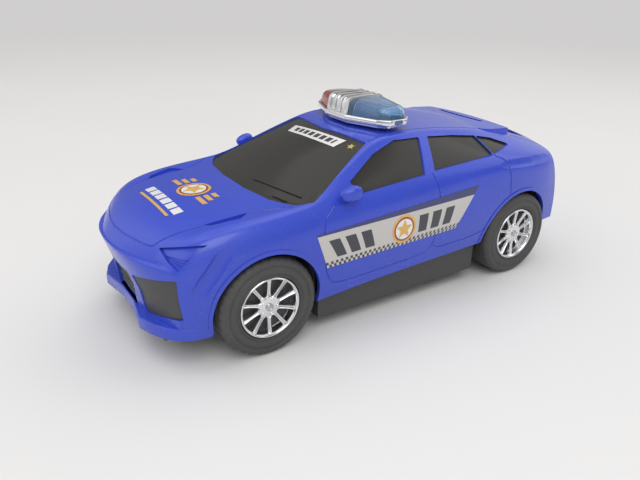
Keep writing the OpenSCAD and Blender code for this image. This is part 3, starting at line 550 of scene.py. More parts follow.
class Skin:
    """The car's outer surface, for laying lines and labels on it."""

    def __init__(self):
        points, faces = outside()
        self.tree = BVHTree.FromPolygons([Vector(p) * MM for p in points], faces)

    def cast(self, origin, direction):
        spot, normal, _, _ = self.tree.ray_cast(origin, direction)
        if spot is None:
            return None
        if normal.dot(direction) > 0:
            normal = -normal
        return spot / MM, normal

    def at(self, view, a, b):
        """Point and normal under (a, b) as seen from that side."""
        origin, direction = {"left": ((a, LEFT_OF_CAR, b), (0, -1, 0)), "top": ((a, b, OVER_CAR), (0, 0, -1)),
                             "tail": ((BEHIND_CAR, a, b), (1, 0, 0))}[view]
        return self.cast(Vector(origin) * MM, Vector(direction))

    def path(self, view, points, step=1.4):
        """A rounded line of points and normals through places seen from that side."""
        line = [Vector(p) for p in points]
        for _ in range(2):
            cornered = [line[0]]
            for a, b in zip(line, line[1:]):
                cornered += [a.lerp(b, 0.25), a.lerp(b, 0.75)]
            line = cornered + [line[-1]]
        spots = []
        for a, b in zip(line, line[1:]):
            n = max(1, round((b - a).length / step))
            spots += [a.lerp(b, k / n) for k in range(n)]
        found = [self.at(view, *p) for p in spots + [line[-1]]]
        return [spot for spot in found if spot]


def tube(path, r, n=8, sink=0):
    """A round bar along points with normals, sunk below the surface by sink."""
    turns = [2 * math.pi * k / n for k in range(n)]
    rings = []
    for i, (p, normal) in enumerate(path):
        ahead = path[min(i + 1, len(path) - 1)][0] - path[max(i - 1, 0)][0]
        side = ahead.cross(normal).normalized()
        up = side.cross(ahead).normalized()
        centre = p - normal * sink
        rings.append([tuple(centre + r * (math.cos(a) * side + math.sin(a) * up)) for a in turns])
    return stack(rings)


def channel(path, r, depth):
    """A round bar that hangs over the surface and dips into it by depth, fading out at both ends."""
    last = len(path) - 1
    dips = [depth - (depth + 0.1) * abs(2 * i / last - 1) ** 4 for i in range(last + 1)]
    return tube([(p + normal * (r - dip), normal) for (p, normal), dip in zip(path, dips)], r, 160)


class Value:
    """A number inside a material, with the sums that the finishes use."""

    def __init__(self, finish, socket):
        self.finish = finish
        self.socket = socket

    def math(self, operation, *others):
        return self.finish.value("ShaderNodeMath", {"operation": operation}, dict(enumerate((self,) + others)))

    def __add__(self, other):
        return self.math("ADD", other)

    __radd__ = __add__

    def __rsub__(self, other):
        return self * -1 + other

    def __mul__(self, other):
        return self.math("MULTIPLY", other)

    __rmul__ = __mul__

    def __truediv__(self, other):
        return self.math("DIVIDE", other)

    def __mod__(self, other):
        return self.math("FLOORED_MODULO", other)

    def __lt__(self, other):
        return self.math("LESS_THAN", other)

    def __gt__(self, other):
        return self.math("GREATER_THAN", other)

    def floor(self):
        return self.math("FLOOR")


class Nodes:
    """A node tree that starts empty."""

    def __init__(self, owner):
        owner.use_nodes = True
        self.tree = owner.node_tree
        self.tree.nodes.clear()

    def plug(self, socket, value):
        if isinstance(value, Value):
            self.tree.links.new(value.socket, socket)
        else:
            socket.default_value = value

    def node(self, kind, settings, inputs):
        node = self.tree.nodes.new(kind)
        for name, value in settings.items():
            setattr(node, name, value)
        for name, value in inputs.items():
            self.plug(node.inputs[name], value)
        return node

    def value(self, kind, settings, inputs, output=0):
        return Value(self, self.node(kind, settings, inputs).outputs[output])

    def parts(self, vector):
        node = self.node("ShaderNodeSeparateXYZ", {}, {0: vector})
        return [Value(self, socket) for socket in node.outputs]


class Finish(Nodes):
    """A material around one Principled shader."""

    def __init__(self, name, **constants):
        self.material = bpy.data.materials.new(name)
        super().__init__(self.material)
        self.output = self.tree.nodes.new("ShaderNodeOutputMaterial")
        self.shader = self.tree.nodes.new("ShaderNodeBsdfPrincipled")
        self.tree.links.new(self.shader.outputs[0], self.output.inputs[0])
        for socket, value in constants.items():
            self.set(socket.replace("_", " "), value)

    def set(self, socket, value):
        self.plug(self.shader.inputs[socket], value)

    def place(self, kind="Object"):
        return self.value("ShaderNodeTexCoord", {}, {}, kind)

    def noise(self, scale, detail=2.0):
        return self.value("ShaderNodeTexNoise", {}, {"Vector": self.place(), "Scale": scale, "Detail": detail})

    def blend(self, share, a, b):
        """Colour a where share is 0 and b where it is 1."""
        return self.value("ShaderNodeMix", {"data_type": "RGBA"}, {0: share, 6: a, 7: b}, 2)

    def bump(self, height, strength, depth):
        return self.value("ShaderNodeBump", {}, {"Strength": strength, "Distance": depth * MM, "Height": height})


def shade(colour, factor):
    return tuple(min(1, c * factor) for c in colour) + (1,)


def moulding(name, colour, roughness, grain, depth, coat=0.0, gloss=0.5):
    """Moulded plastic: faint clouding of the colour, uneven gloss and a fine grain."""
    finish = Finish(name, Coat_Weight=coat, Coat_Roughness=0.06, Specular_IOR_Level=gloss)
    cloud = finish.noise(35, 3.0)
    finish.set("Base Color", finish.blend(cloud, shade(colour, 0.9), shade(colour, 1.1)))
    finish.set("Roughness", finish.noise(220) * 0.1 + (roughness - 0.05))
    finish.set("Normal", finish.bump(finish.noise(grain, 3.0), 0.12, depth))
    return finish.material


def bright_plating(name, colour):
    finish = Finish(name, Metallic=1.0)
    finish.set("Base Color", finish.blend(finish.noise(90), shade(colour, 0.93), shade(colour, 1.03)))
    finish.set("Roughness", finish.noise(260) * 0.08 + 0.07)
    return finish.material


def lens_plastic(name, colour):
    finish = Finish(name, Transmission_Weight=0.9, IOR=1.46, Coat_Weight=0.3)
    flutes = finish.value("ShaderNodeTexWave", {"bands_direction": "Y"},
                          {"Vector": finish.place(), "Scale": 160.0, "Distortion": 0.0})
    finish.set("Base Color", finish.blend(finish.noise(120), shade(colour, 0.85), shade(colour, 1.1)))
    finish.set("Roughness", finish.noise(200) * 0.08 + 0.08)
    finish.set("Normal", finish.bump(flutes, 0.3, 0.12))
    return finish.material


def plain_steel(name, colour):
    finish = Finish(name, Metallic=1.0)
    drawn = finish.value("ShaderNodeMapping", {}, {"Vector": finish.place(), "Scale": (900.0, 30.0, 900.0)})
    lines = finish.value("ShaderNodeTexNoise", {}, {"Vector": drawn, "Scale": 1.0})
    finish.set("Base Color", finish.blend(lines, shade(colour, 0.85), shade(colour, 1.1)))
    finish.set("Roughness", lines * 0.2 + 0.25)
    return finish.material


def rubber(name, colour):
    finish = Finish(name)
    finish.set("Base Color", finish.blend(finish.noise(80, 4.0), shade(colour, 0.8), shade(colour, 1.25)))
    finish.set("Roughness", finish.noise(300) * 0.15 + 0.5)
    finish.set("Normal", finish.bump(finish.noise(2500, 3.0), 0.25, 0.05))
    return finish.material


def label_film(name, roughness):
    """Thin glossy film, before it gets its print."""
    finish = Finish(name, Coat_Weight=0.5, Coat_Roughness=0.1)
    finish.set("Roughness", finish.noise(400) * 0.1 + roughness)
    return finish


def printed(name, colour):
    finish = label_film(name, 0.3)
    finish.set("Base Color", finish.blend(finish.noise(150), shade(colour, 0.94), shade(colour, 1.04)))
    return finish.material


def door_print(name, film, ink):
    """Door label: a chequered strip along the foot and slanted bars on pale film."""
    finish = label_film(name, 0.28)
    length, height = DOOR_SIZE
    u, v, _ = finish.parts(finish.place("UV"))
    x, y = u * length, v * height
    square = height * 0.088
    strip = y < 2 * square
    chequer = ((x / square).floor() + (y / square).floor()) % 2
    lean = x + y * 0.28
    bars = (lean % 8.4 < 5.6) * (y > height * 0.27) * (y < height * 0.82)
    fields = (lean > 8) * (lean < 32) + (lean > 58) * (lean < 82)
    dark = strip * chequer + bars * fields * (1 - strip)
    finish.set("Base Color", finish.blend(dark, shade(film, 1), shade(ink, 1)))
    return finish.material


def strip_print(name, film, ink):
    """Windscreen strip: a row of dark blocks on white film."""
    finish = label_film(name, 0.3)
    length, height = STRIP_SIZE
    u, v, _ = finish.parts(finish.place("UV"))
    x, y = u * length, v * height
    blocks = (x % 4.1 < 2.9) * (x > 4.1) * (x < length - 3) * (y > height * 0.24) * (y < height * 0.76)
    finish.set("Base Color", finish.blend(blocks, shade(film, 1), shade(ink, 1)))
    return finish.material


FINISHES = {}

# Finish of each slot's pieces that keep their own shape
SLOT_FINISH = {"chassis_dark": "black", "grille_dark": "black", "steel": "steel", "gear_white": "nylon",
               "case_grey": "grey", "body_blue": "blue", "window_dark": "glazing", "chrome_trim": "chrome",
               "lens_blue": "blue_lens", "lens_red": "red_lens", "tyre_black": "tyre"}


def rides(piece, body, slot, *nodes):
    """Hands a piece to its body and hides the nodes that it stands for; slot is not used."""
    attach(piece, body)
    if nodes:
        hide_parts(*nodes)


def paint(piece, finish):
    piece.data.materials.clear()
    piece.data.materials.append(FINISHES[finish])


def finished(piece, angle, finish, *places):
    """Smooths and paints a piece and hands it on."""
    smooth(piece, angle)
    paint(piece, finish)
    rides(piece, *places)


def tint(name, text, default):
    return bpy.props.FloatVectorProperty(name=name, description=text, subtype="COLOR", default=default, min=0, max=1)


def millimetres(name, text, default):
    return bpy.props.FloatProperty(name=name, description=text + ", mm", default=default, min=0.1)


class CarColours(bpy.types.PropertyGroup):
    body: tint("Body", "Colour of the moulded body", (0.034, 0.07, 0.56))
    glazing: tint("Glazing", "Colour of the dark windows", (0.038, 0.037, 0.035))
    chassis: tint("Chassis", "Colour of chassis, hubs and intakes", (0.058, 0.056, 0.056))
    tyre: tint("Tyre", "Colour of the tyres", (0.06, 0.06, 0.059))
    plating: tint("Plating", "Colour of the bright plated pieces", (0.78, 0.785, 0.8))
    blue_lens: tint("Blue lens", "Colour of the left lens", (0.42, 0.67, 1.0))
    red_lens: tint("Red lens", "Colour of the right lens", (1.0, 0.26, 0.26))
    film: tint("Label film", "Pale ground of the labels", (0.55, 0.53, 0.51))
    ink: tint("Label ink", "Dark print of the labels", (0.03, 0.033, 0.045))
    gold: tint("Label gold", "Gold print of the labels", (0.72, 0.42, 0.09))


class CarSizes(bpy.types.PropertyGroup):
    groove: millimetres("Shut line", "Radius of the shut lines", 0.38)
    arch_lip: millimetres("Arch lip", "How far the arch lips stand out", 0.45)
    arch_r: millimetres("Arch radius", "Radius of the wheel arches", 24.6)
    wall: millimetres("Wall", "Thickness of the body moulding", 2.0)
    pane_recess: millimetres("Pane recess", "Depth of the panes below the body", 0.7)
    spokes: bpy.props.IntProperty(name="Spokes", description="Spokes of a wheel trim", default=10, min=4)


class TOYCAR_OT_finishes(bpy.types.Operator):
    """Makes the finishes and puts them on the pieces that keep their own shape"""
    bl_idname = "toycar.finishes"
    bl_label = "Finishes"

    def execute(self, context):
        colours = context.scene.car_colours
        FINISHES.update(
            blue=moulding("blue_moulding", colours.body, roughness=0.26, grain=140, depth=0.04, coat=0.2),
            glazing=moulding("dark_glazing", colours.glazing, roughness=0.16, grain=600, depth=0.01, gloss=0.3),
            black=moulding("black_moulding", colours.chassis, roughness=0.5, grain=1800, depth=0.06),
            grey=moulding("grey_moulding", (0.07, 0.07, 0.075), roughness=0.5, grain=1500, depth=0.05),
            nylon=moulding("natural_nylon", (0.78, 0.76, 0.68), roughness=0.45, grain=1200, depth=0.03),
            chrome=bright_plating("bright_plating", colours.plating),
            steel=plain_steel("plain_steel", (0.55, 0.55, 0.57)),
            tyre=rubber("tyre_rubber", colours.tyre),
            blue_lens=lens_plastic("blue_lens_plastic", colours.blue_lens),
            red_lens=lens_plastic("red_lens_plastic", colours.red_lens),
            door_print=door_print("door_label_print", colours.film, colours.ink),
            film=printed("pale_print", (0.8, 0.8, 0.8)),
            gold=printed("gold_print", colours.gold),
            dark_red=printed("dark_red_print", (0.3, 0.03, 0.03)),
            yellow=printed("yellow_print", (0.5, 0.42, 0.1)),
            navy=printed("navy_print", (0.03, 0.034, 0.15)),
            strip_print=strip_print("strip_label_print", (0.78, 0.78, 0.77), colours.ink))
        slots = {part["node"]: part["material_slot"] for part in frame["record"]["subparts"]}
        for name, node in frame["nodes"].items():
            for place in node.material_slots:
                place.material = FINISHES[SLOT_FINISH[slots[name]]]
        return {"FINISHED"}


class TOYCAR_OT_body(bpy.types.Operator):
    """Moulds the blue body with its lips, reliefs, shut lines and openings"""
    bl_idname = "toycar.body"
    bl_label = "Body"

    def execute(self, context):
        sizes = context.scene.car_sizes
        skin = Skin()
        body = make("body", outside())
        for x in (FRONT_X, REAR_X):
            lip = make("arch_lip", self.arch_ring(x, *[sizes.arch_r + edge for edge in LIP_EDGES]))
            combine(lip, make("grown", outside(-sizes.arch_lip)), "INTERSECT")
            combine(body, lip, "UNION")
        self.reliefs(body)
        for points, r, depth in CHANNELS:
            cut(body, "channel", *both_sides(channel(skin.path("left", points), r, depth)))
        self.shut_lines(body, skin, sizes.groove)
        cut(body, "slot", self.spoiler_slot())
        cut(body, "hollow", outside(sizes.wall, *COARSE))
        for x in (FRONT_X, REAR_X):
            ends = [[(x + p[0], y, AXLE_Z + p[1]) for p in circle(sizes.arch_r, 0, 96)]
                    for y in (PAST_SIDES, -PAST_SIDES)]
            cut(body, "wheel_room", stack(ends))
        cut(body, "opening", *window_prisms(PANE_CORNER), *intake_prisms(PANE_CORNER))
        body = joined([body, self.lip(), self.spoiler()] + self.mirrors())
        finished(body, BODY_CREASE, "blue", "car_body", "body_blue", "body_shell")
        return {"FINISHED"}

    def arch_ring(self, x, inner, outer):
        ring = turned([(inner, -PAST_SIDES), (outer, -PAST_SIDES), (outer, PAST_SIDES), (inner, PAST_SIDES)], 128)
        return moved(ring, lambda a, b, c: (x + a, c, AXLE_Z + b))

    def relief(self, body, depth, *forms):
        for form in forms:
            tool = make("relief", form)
            cut(tool, "floor_of_relief", outside(depth))
            combine(body, tool)

    def reliefs(self, body):
        way = Vector(HEADLAMP_FACING).normalized()
        lamp = stack([[tuple(Vector(p) + way * reach) for p in HEADLAMP] for reach in LAMP_REACH])
        slot = prism(rounded(BONNET_SLOT, 0.3), on_top, *BONNET_REACH)
        tail_lamp, exhaust, plate = [prism(rounded(outline, r), on_end, *TAIL_REACH)
                                     for outline, r in ((TAIL_LAMP, 0.5), (EXHAUST, 0.6), (PLATE, 0.6))]
        for form, depth in ((lamp, LAMP_DEPTH), (slot, SLOT_DEPTH), (tail_lamp, TAIL_LAMP_DEPTH),
                            (exhaust, EXHAUST_DEPTH)):
            self.relief(body, depth, *both_sides(form))
        self.relief(body, PLATE_DEPTH, plate)

    def shut_lines(self, body, skin, r):
        for view, points in (("left", FRONT_DOOR), ("left", REAR_DOOR_FOOT), ("left", REAR_DOOR_EDGE),
                             ("top", BONNET), ("top", BONNET_REAR), ("top", ROOF_CHANNEL), ("top", HATCH_TOP)):
            cut(body, "shut_line", *both_sides(tube(skin.path(view, points), r)))
        for points in (HATCH_TAIL, BUMPER_TAIL):
            cut(body, "shut_line", tube(skin.path("tail", points), r))
        a, b, c, d = [Vector(p) for p in HEADLAMP]
        way = Vector(HEADLAMP_FACING).normalized()
        for share in LAMP_RIBS:
            start, end = c.lerp(b, share), d.lerp(a, share * 0.9)
            spots = [skin.cast((start.lerp(end, k / 10) + way * 15) * MM, -way) for k in range(11)]
            rib = tube([spot for spot in spots if spot], LAMP_RIB_R, 8, LAMP_RIB_SINK)
            cut(body, "lamp_rib", *both_sides(rib))

    def lip(self):
        outline, root = [half + [(x, -y) for x, y in reversed(half[:-1])] for half in (LIP_HALF, LIP_ROOT)]
        low, high = LIP_Z
        rings = [[(*edge, low), (*edge, high), (*foot, high), (*foot, low)] for edge, foot in zip(outline, root)]
        piece = make("front_lip", stack(rings))
        soften(piece, 0.7, 3)
        return piece

    def spoiler(self):
        """A blade over the rear window, thinner towards its rear edge, with a fence at each end."""
        rows, columns = 14, 40
        front, rear = SPOILER_X
        top, low = [], []
        for i in range(rows + 1):
            x = front + (rear - front) * i / rows
            half = lookup(-x, SPOILER_HALF)
            for j in range(columns + 1):
                y = half * (2 * j / columns - 1)
                z = lookup(-x, SPOILER_TOP) - SPOILER_ARCH * y * y
                fence = SPOILER_FENCE * i / rows if j in (0, 1, columns - 1, columns) else 0
                top.append((x, y, z))
                low.append((x, y, z - SPOILER_WALL + SPOILER_TAPER * i / rows - fence))
        n, w = len(top), columns + 1
        quads = [(i * w + j, i * w + j + 1, (i + 1) * w + j + 1, (i + 1) * w + j)
                 for i in range(rows) for j in range(columns)]
        rim = (list(range(columns)) + [i * w + columns for i in range(rows)]
               + [rows * w + j for j in range(columns, 0, -1)] + [i * w for i in range(rows, 0, -1)])
        faces = quads + [tuple(k + n for k in reversed(quad)) for quad in quads]
        faces += [(a, b, b + n, a + n) for a, b in zip(rim, rim[1:] + rim[:1])]
        piece = make("roof_spoiler", (top + low, faces))
        soften(piece, 0.35, 2)
        cut(piece, "slot", self.spoiler_slot())
        return piece

    def spoiler_slot(self):
        """The curved slot through the spoiler and into the roof under it."""
        (x, z), (bend, fall), up = SLOT_AT, SLOT_BEND, Vector((0, 0, 1))
        line = [(Vector((x - bend * y * y, y, z - fall * y * y)), up) for y in range(-SLOT_HALF, SLOT_HALF + 1, 2)]
        return tube(line, SLOT_R, 16)

    def mirrors(self):
        """Rounded pods, slimmer in front and turned a little, each on an arm at the foot of the windscreen pillar."""
        n, m = 32, 28
        (x, y, z), (long, wide, high) = MIRROR_AT, MIRROR_HALF
        rings = []
        for i in range(m + 1):
            s = 0.999 * math.sin(math.pi * (i / m - 0.5))
            size = (1 - abs(s) ** 3) ** (1 / 3) * (1 - 0.22 * max(0, s))
            ring = []
            for q in range(n):
                c, d = math.cos(2 * math.pi * q / n), math.sin(2 * math.pi * q / n)
                ring.append((x + long * s + 0.4 * d, y - 0.6 * s + wide * size * math.copysign(abs(c) ** 0.7, c),
                             z - 0.7 * s + high * size * math.copysign(abs(d) ** 0.7, d)))
            rings.append(ring)
        arm = tube([(Vector(p), Vector((1, 0, 0))) for p in MIRROR_ARM], MIRROR_ARM_R, 16)
        left, right = both_sides(merged(stack(rings), arm))
        return [make("mirror_left", left), make("mirror_right", right)]


class TOYCAR_OT_glazing(bpy.types.Operator):
    """Makes the dark panes, with moulded wipers on the windscreen"""
    bl_idname = "toycar.glazing"
    bl_label = "Glazing"

    def execute(self, context):
        sizes = context.scene.car_sizes
        panes = [inlay("pane", form, sizes.pane_recess, outside(PANE_BACK, *COARSE))
                 for form in window_prisms(PANE_CORNER - PANE_GAP)]
        skin = Skin()
        panes += [make("wiper", tube(skin.path("top", points), WIPER_R, 8, WIPER_SINK)) for points in WIPERS]
        glazing = joined(panes)
        glazing.name = "glazing"
        finished(glazing, BODY_CREASE, "glazing", "car_body", "window_dark", "window_insert")
        return {"FINISHED"}


class TOYCAR_OT_intakes(bpy.types.Operator):
    """Makes the dark panels and slats of the front intakes"""
    bl_idname = "toycar.intakes"
    bl_label = "Intakes"

    def execute(self, context):
        sizes = context.scene.car_sizes
        recesses = (sizes.pane_recess, sizes.pane_recess, sizes.pane_recess + PANEL_WALL)
        pieces = [inlay("panel", form, recess, outside(recess + PANEL_WALL))
                  for form, recess in zip(intake_prisms(PANE_CORNER - PANE_GAP), recesses)]
        for i in range(SLATS):
            z = SLAT_Z + SLAT_PITCH * i
            half = SLAT_HALF + SLAT_WIDENS * i
            x = lookup(z, NOSE_LINE) - SLAT_SINK
            places = [half * (2 * k / 12 - 1) for k in range(13)]
            spots = [(Vector((x - SLAT_BOW * y * y, y, z)), Vector((1, 0, 0))) for y in places]
            pieces.append(make("slat", tube(spots, SLAT_R, 10)))
        intakes = joined(pieces)
        intakes.name = "front_intakes"
        finished(intakes, BODY_CREASE, "black", "car_body", "grille_dark", "grille_insert")
        return {"FINISHED"}


def inset(points, d):
    """An anticlockwise outline drawn in by d."""
    drawn = []
    for i, p in enumerate(points):
        way_in, way_out = [(Vector(b) - Vector(a)).normalized() for a, b in
                           ((points[i - 1], p), (p, points[(i + 1) % len(points)]))]
        before, after = Vector((-way_in.y, way_in.x)), Vector((-way_out.y, way_out.x))
        drawn.append(tuple(Vector(p) + d * (before + after) / (1 + before.dot(after))))
    return drawn


def bar_ring(d, r, z):
    """The light bar's whole outline drawn in by d, with corners of radius r, at height z over its underside."""
    outline = WING_HALF + [(x, -y) for x, y in reversed(WING_HALF)]
    return [(x, y, BAR_Z + z) for x, y in rounded(inset(outline, d + r), r)]


def lens_ring(d, r, start, low, share):
    """One end of the light bar from y = start outwards; the top falls towards the end."""
    root = start - d
    first = (BAR_FRONT + FRONT_LEAN * (DIVIDER_HALF - root), root)
    outline = inset([first] + WING_HALF[1:] + [(BAR_REAR, root)], d + r)
    return [(x, y, BAR_Z + low + share * (LENS_H - LENS_FALL * (y - DIVIDER_HALF)))
            for x, y in rounded(outline, r)]


class TOYCAR_OT_light_bar(bpy.types.Operator):
    """Makes the roof light bar: bright tray, bright divider and two swept-back lenses"""
    bl_idname = "toycar.light_bar"
    bl_label = "Light bar"

    def execute(self, context):
        tray = make("light_bar_tray_look", stack([bar_ring(d, BAR_CORNER, z) for d, z in TRAY_LEVELS]))
        cut(tray, "end_window", *both_sides(self.oval(*END_WINDOW)))
        peg = stack([[(BAR_X + x, PEG_Y + y, z) for x, y, _ in circle(PEG_R, 0, 24)] for z in PEG_Z])
        tray = joined([tray] + [make("peg", form) for form in both_sides(peg)])
        finished(tray, BRIGHT_CREASE, "chrome", "car_body", "chrome_trim", "light_bar_tray")
        outer, inner = [stack([lens_ring(LENS_GAP + d, LENS_CORNER, start, low, share) for d, low, share in levels])
                        for start, levels in ((LENS_START, LENS_LEVELS), (ROOM_START, ROOM_LEVELS))]
        sides = [both_sides(form) for form in (outer, inner, self.oval(*LENS_TAB))]
        for colour, shell, room, tab in zip(("blue", "red"), *sides):
            lens = make(colour + "_lens", shell)
            cut(lens, "room", room)
            lens = joined([lens, make("tab", tab)])
            finished(lens, BRIGHT_CREASE, colour + "_lens", "car_body", "lens_" + colour, "light_lens_" + colour)
        self.divider()
        return {"FINISHED"}

    def divider(self):
        """The block between the lenses, with ridges that run over it from front to rear."""
        blocks = [make("divider", self.across_bar(0, -DIVIDER_HALF, DIVIDER_HALF))]
        blocks += [make("ridge", self.across_bar(RIDGE_H, y - RIDGE_HALF, y + RIDGE_HALF)) for y in RIDGES]
        for block in blocks:
            soften(block, 0.25, 2)
        finished(joined(blocks), BRIGHT_CREASE, "chrome", "car_body", "chrome_trim", "light_bar_divider")

    def across_bar(self, proud, near, far):
        """The divider's section, standing proud of the block, from y = near to y = far."""
        profile = [(LENS_GAP + proud, 2.2), (LENS_GAP, 4.4), (2.1, 9.2), (2.9, 10.8), (4.4, 11.75)]
        front = [(BAR_FRONT - d + proud, z + proud) for d, z in profile]
        rear = [(BAR_REAR + d - proud, z + proud) for d, z in reversed(profile)]
        return prism(front + rear, lambda a, b, d: (a, d, BAR_Z + b), near, far)

    def oval(self, r, near, far):
        """An oval bar along the light bar, through the end of its tray."""
        outline = rounded([(-1.6, 3.1), (1.6, 3.1), (1.6, 3.12)], r, 8)
        return prism(outline, lambda a, b, d: (BAR_X + a, d, BAR_Z + b), near, far)


WHEELS = {"front_left": (FRONT_X, 1, "front_wheels"), "front_right": (FRONT_X, -1, "front_wheels"),
          "rear_left": (REAR_X, 1, "rear_wheels"), "rear_right": (REAR_X, -1, "rear_wheels")}


def at_wheel(form, x, side):
    """Turns a form made along +Z from the tyre's inner face onto its axle."""
    start = TRACK_HALF - TYRE_W
    return moved(form, lambda a, b, c: (x + a, side * (start + c), AXLE_Z - side * b))


class TOYCAR_OT_tyres(bpy.types.Operator):
    """Turns the four tyres, with sidewall rings, tread grooves and shoulder notches"""
    bl_idname = "toycar.tyres"
    bl_label = "Tyres"

    def execute(self, context):
        r = TYRE_D / 2
        core = r - TYRE_ROUND
        tread = []
        for z in TYRE_GROOVES:
            tread += [(r, z - 0.55), (r - 0.25, z - 0.42), (r - 0.7, z - 0.36),
                      (r - 0.7, z + 0.36), (r - 0.25, z + 0.42), (r, z + 0.55)]
        inner = [(13.05, 0.6), (15.3, 0.05), (19.5, 0.0)]
        turns = [math.radians(a) for a in range(0, 91, 10)]
        inner_shoulder = [(core + TYRE_ROUND * math.sin(a), TYRE_ROUND * (1 - math.cos(a))) for a in turns[1:]]
        outer_shoulder = [(core + TYRE_ROUND * math.cos(a), TYRE_W - TYRE_ROUND * (1 - math.sin(a)))
                          for a in turns[:-1]]
        sidewall = [(19.6, 17.98), (19.1, 17.75), (18.9, 17.55), (18.6, 17.55), (18.4, 17.75), (17.6, 17.95),
                    (16.6, 18.0), (16.0, 17.95), (15.7, 17.7), (15.5, 17.5), (15.2, 17.5), (14.9, 17.75),
                    (14.5, 17.7), (14.25, 17.3), (14.25, 13.4), (13.05, 13.4)]
        profile = inner + inner_shoulder + tread + outer_shoulder + sidewall
        notched = {j for j, (a, z) in enumerate(profile) if a > r - 1.3 and (z < 4.4 or z > 13.6)}

        def notch(i, j):
            return -NOTCH_DEPTH if j in notched and i % NOTCH_STEPS == 0 else 0
        form = turned(profile, TYRE_STEPS, notch)
        for name, (x, side, body) in WHEELS.items():
            tyre = make(name + "_tyre", at_wheel(form, x, side))
            finished(tyre, TYRE_CREASE, "tyre", body, "tyre_black", "tyre_" + name)
        return {"FINISHED"}


class TOYCAR_OT_trims(bpy.types.Operator):
    """Makes the four bright wheel trims with their spokes, hub and cap"""
    bl_idname = "toycar.trims"
    bl_label = "Wheel trims"

    def execute(self, context):
        sizes = context.scene.car_sizes
        n = sizes.spokes
        rim = turned([(11.7, 0.0), (14.05, 0.0), (14.1, 0.15), (14.1, 3.4), (13.95, 3.8), (13.6, 4.05), (13.2, 4.0),
                      (12.9, 3.7), (12.6, 3.0), (12.45, 2.2), (12.2, 1.0)], TRIM_STEPS)

        def scallop(i):
            return -0.9 * (0.5 + 0.5 * math.cos(n * 2 * math.pi * i / TRIM_STEPS)) ** 3
        hub = stack([circle(r, z, TRIM_STEPS, scallop) for r, z in ((5.6, 0.3), (5.6, 2.1), (5.2, 2.5))]
                    + [circle(r, z, TRIM_STEPS) for r, z in ((4.4, 2.75), (0.5, 2.8))])
        spokes = [self.spoke(2 * math.pi * (i + 0.5) / n) for i in range(n)]
        bolt = stack([circle(r, z, 12) for r, z in ((0.55, 2.5), (0.55, 3.05), (0.4, 3.2))])
        bolts = []
        for i in range(BOLTS):
            a = 2 * math.pi * (i + 0.5) / BOLTS
            bolts.append(moved(bolt, lambda p, q, z: (p + BOLT_AT * math.cos(a), q + BOLT_AT * math.sin(a), z)))
        cap = stack([circle(r, z, 48) for r, z in ((1.8, 2.6), (1.7, 3.35), (1.4, 3.6), (1.0, 3.65), (0.8, 3.4),
                                                   (0.3, 3.35))])
        forms = (("_trim", "chrome", merged(rim, hub, *spokes, *bolts)), ("_cap", "steel", cap))
        for name, (x, side, body) in WHEELS.items():
            pieces = []
            for kind, finish, form in forms:
                seated = moved(form, lambda p, q, z: (p, q, z + TRIM_SEAT))
                pieces.append(make(name + kind, at_wheel(seated, x, side)))
                paint(pieces[-1], finish)
            trim = joined(pieces)
            smooth(trim, BRIGHT_CREASE)
            rides(trim, body, "chrome_trim", "wheel_trim_" + name)
        return {"FINISHED"}

    def spoke(self, angle):
        """One spoke with a grooved back, from the hub to the rim."""
        rings = []
        for k in range(9):
            r = SPOKE_ROOT + SPOKE_L * k / 8
            w = 0.82 + 0.3 * abs(k / 4 - 1) ** 3
            top = 2.35 + 0.75 * (k / 8) ** 2
            section = [(-w, 0.5), (w, 0.5), (w, top - 0.35), (w * 0.8, top), (w * 0.45, top), (0, top - 0.45),
                       (-w * 0.45, top), (-w * 0.8, top), (-w, top - 0.35)]
            rings.append([(r * math.cos(angle) - s * math.sin(angle), r * math.sin(angle) + s * math.cos(angle), z)
                          for s, z in section])
        return stack(rings)


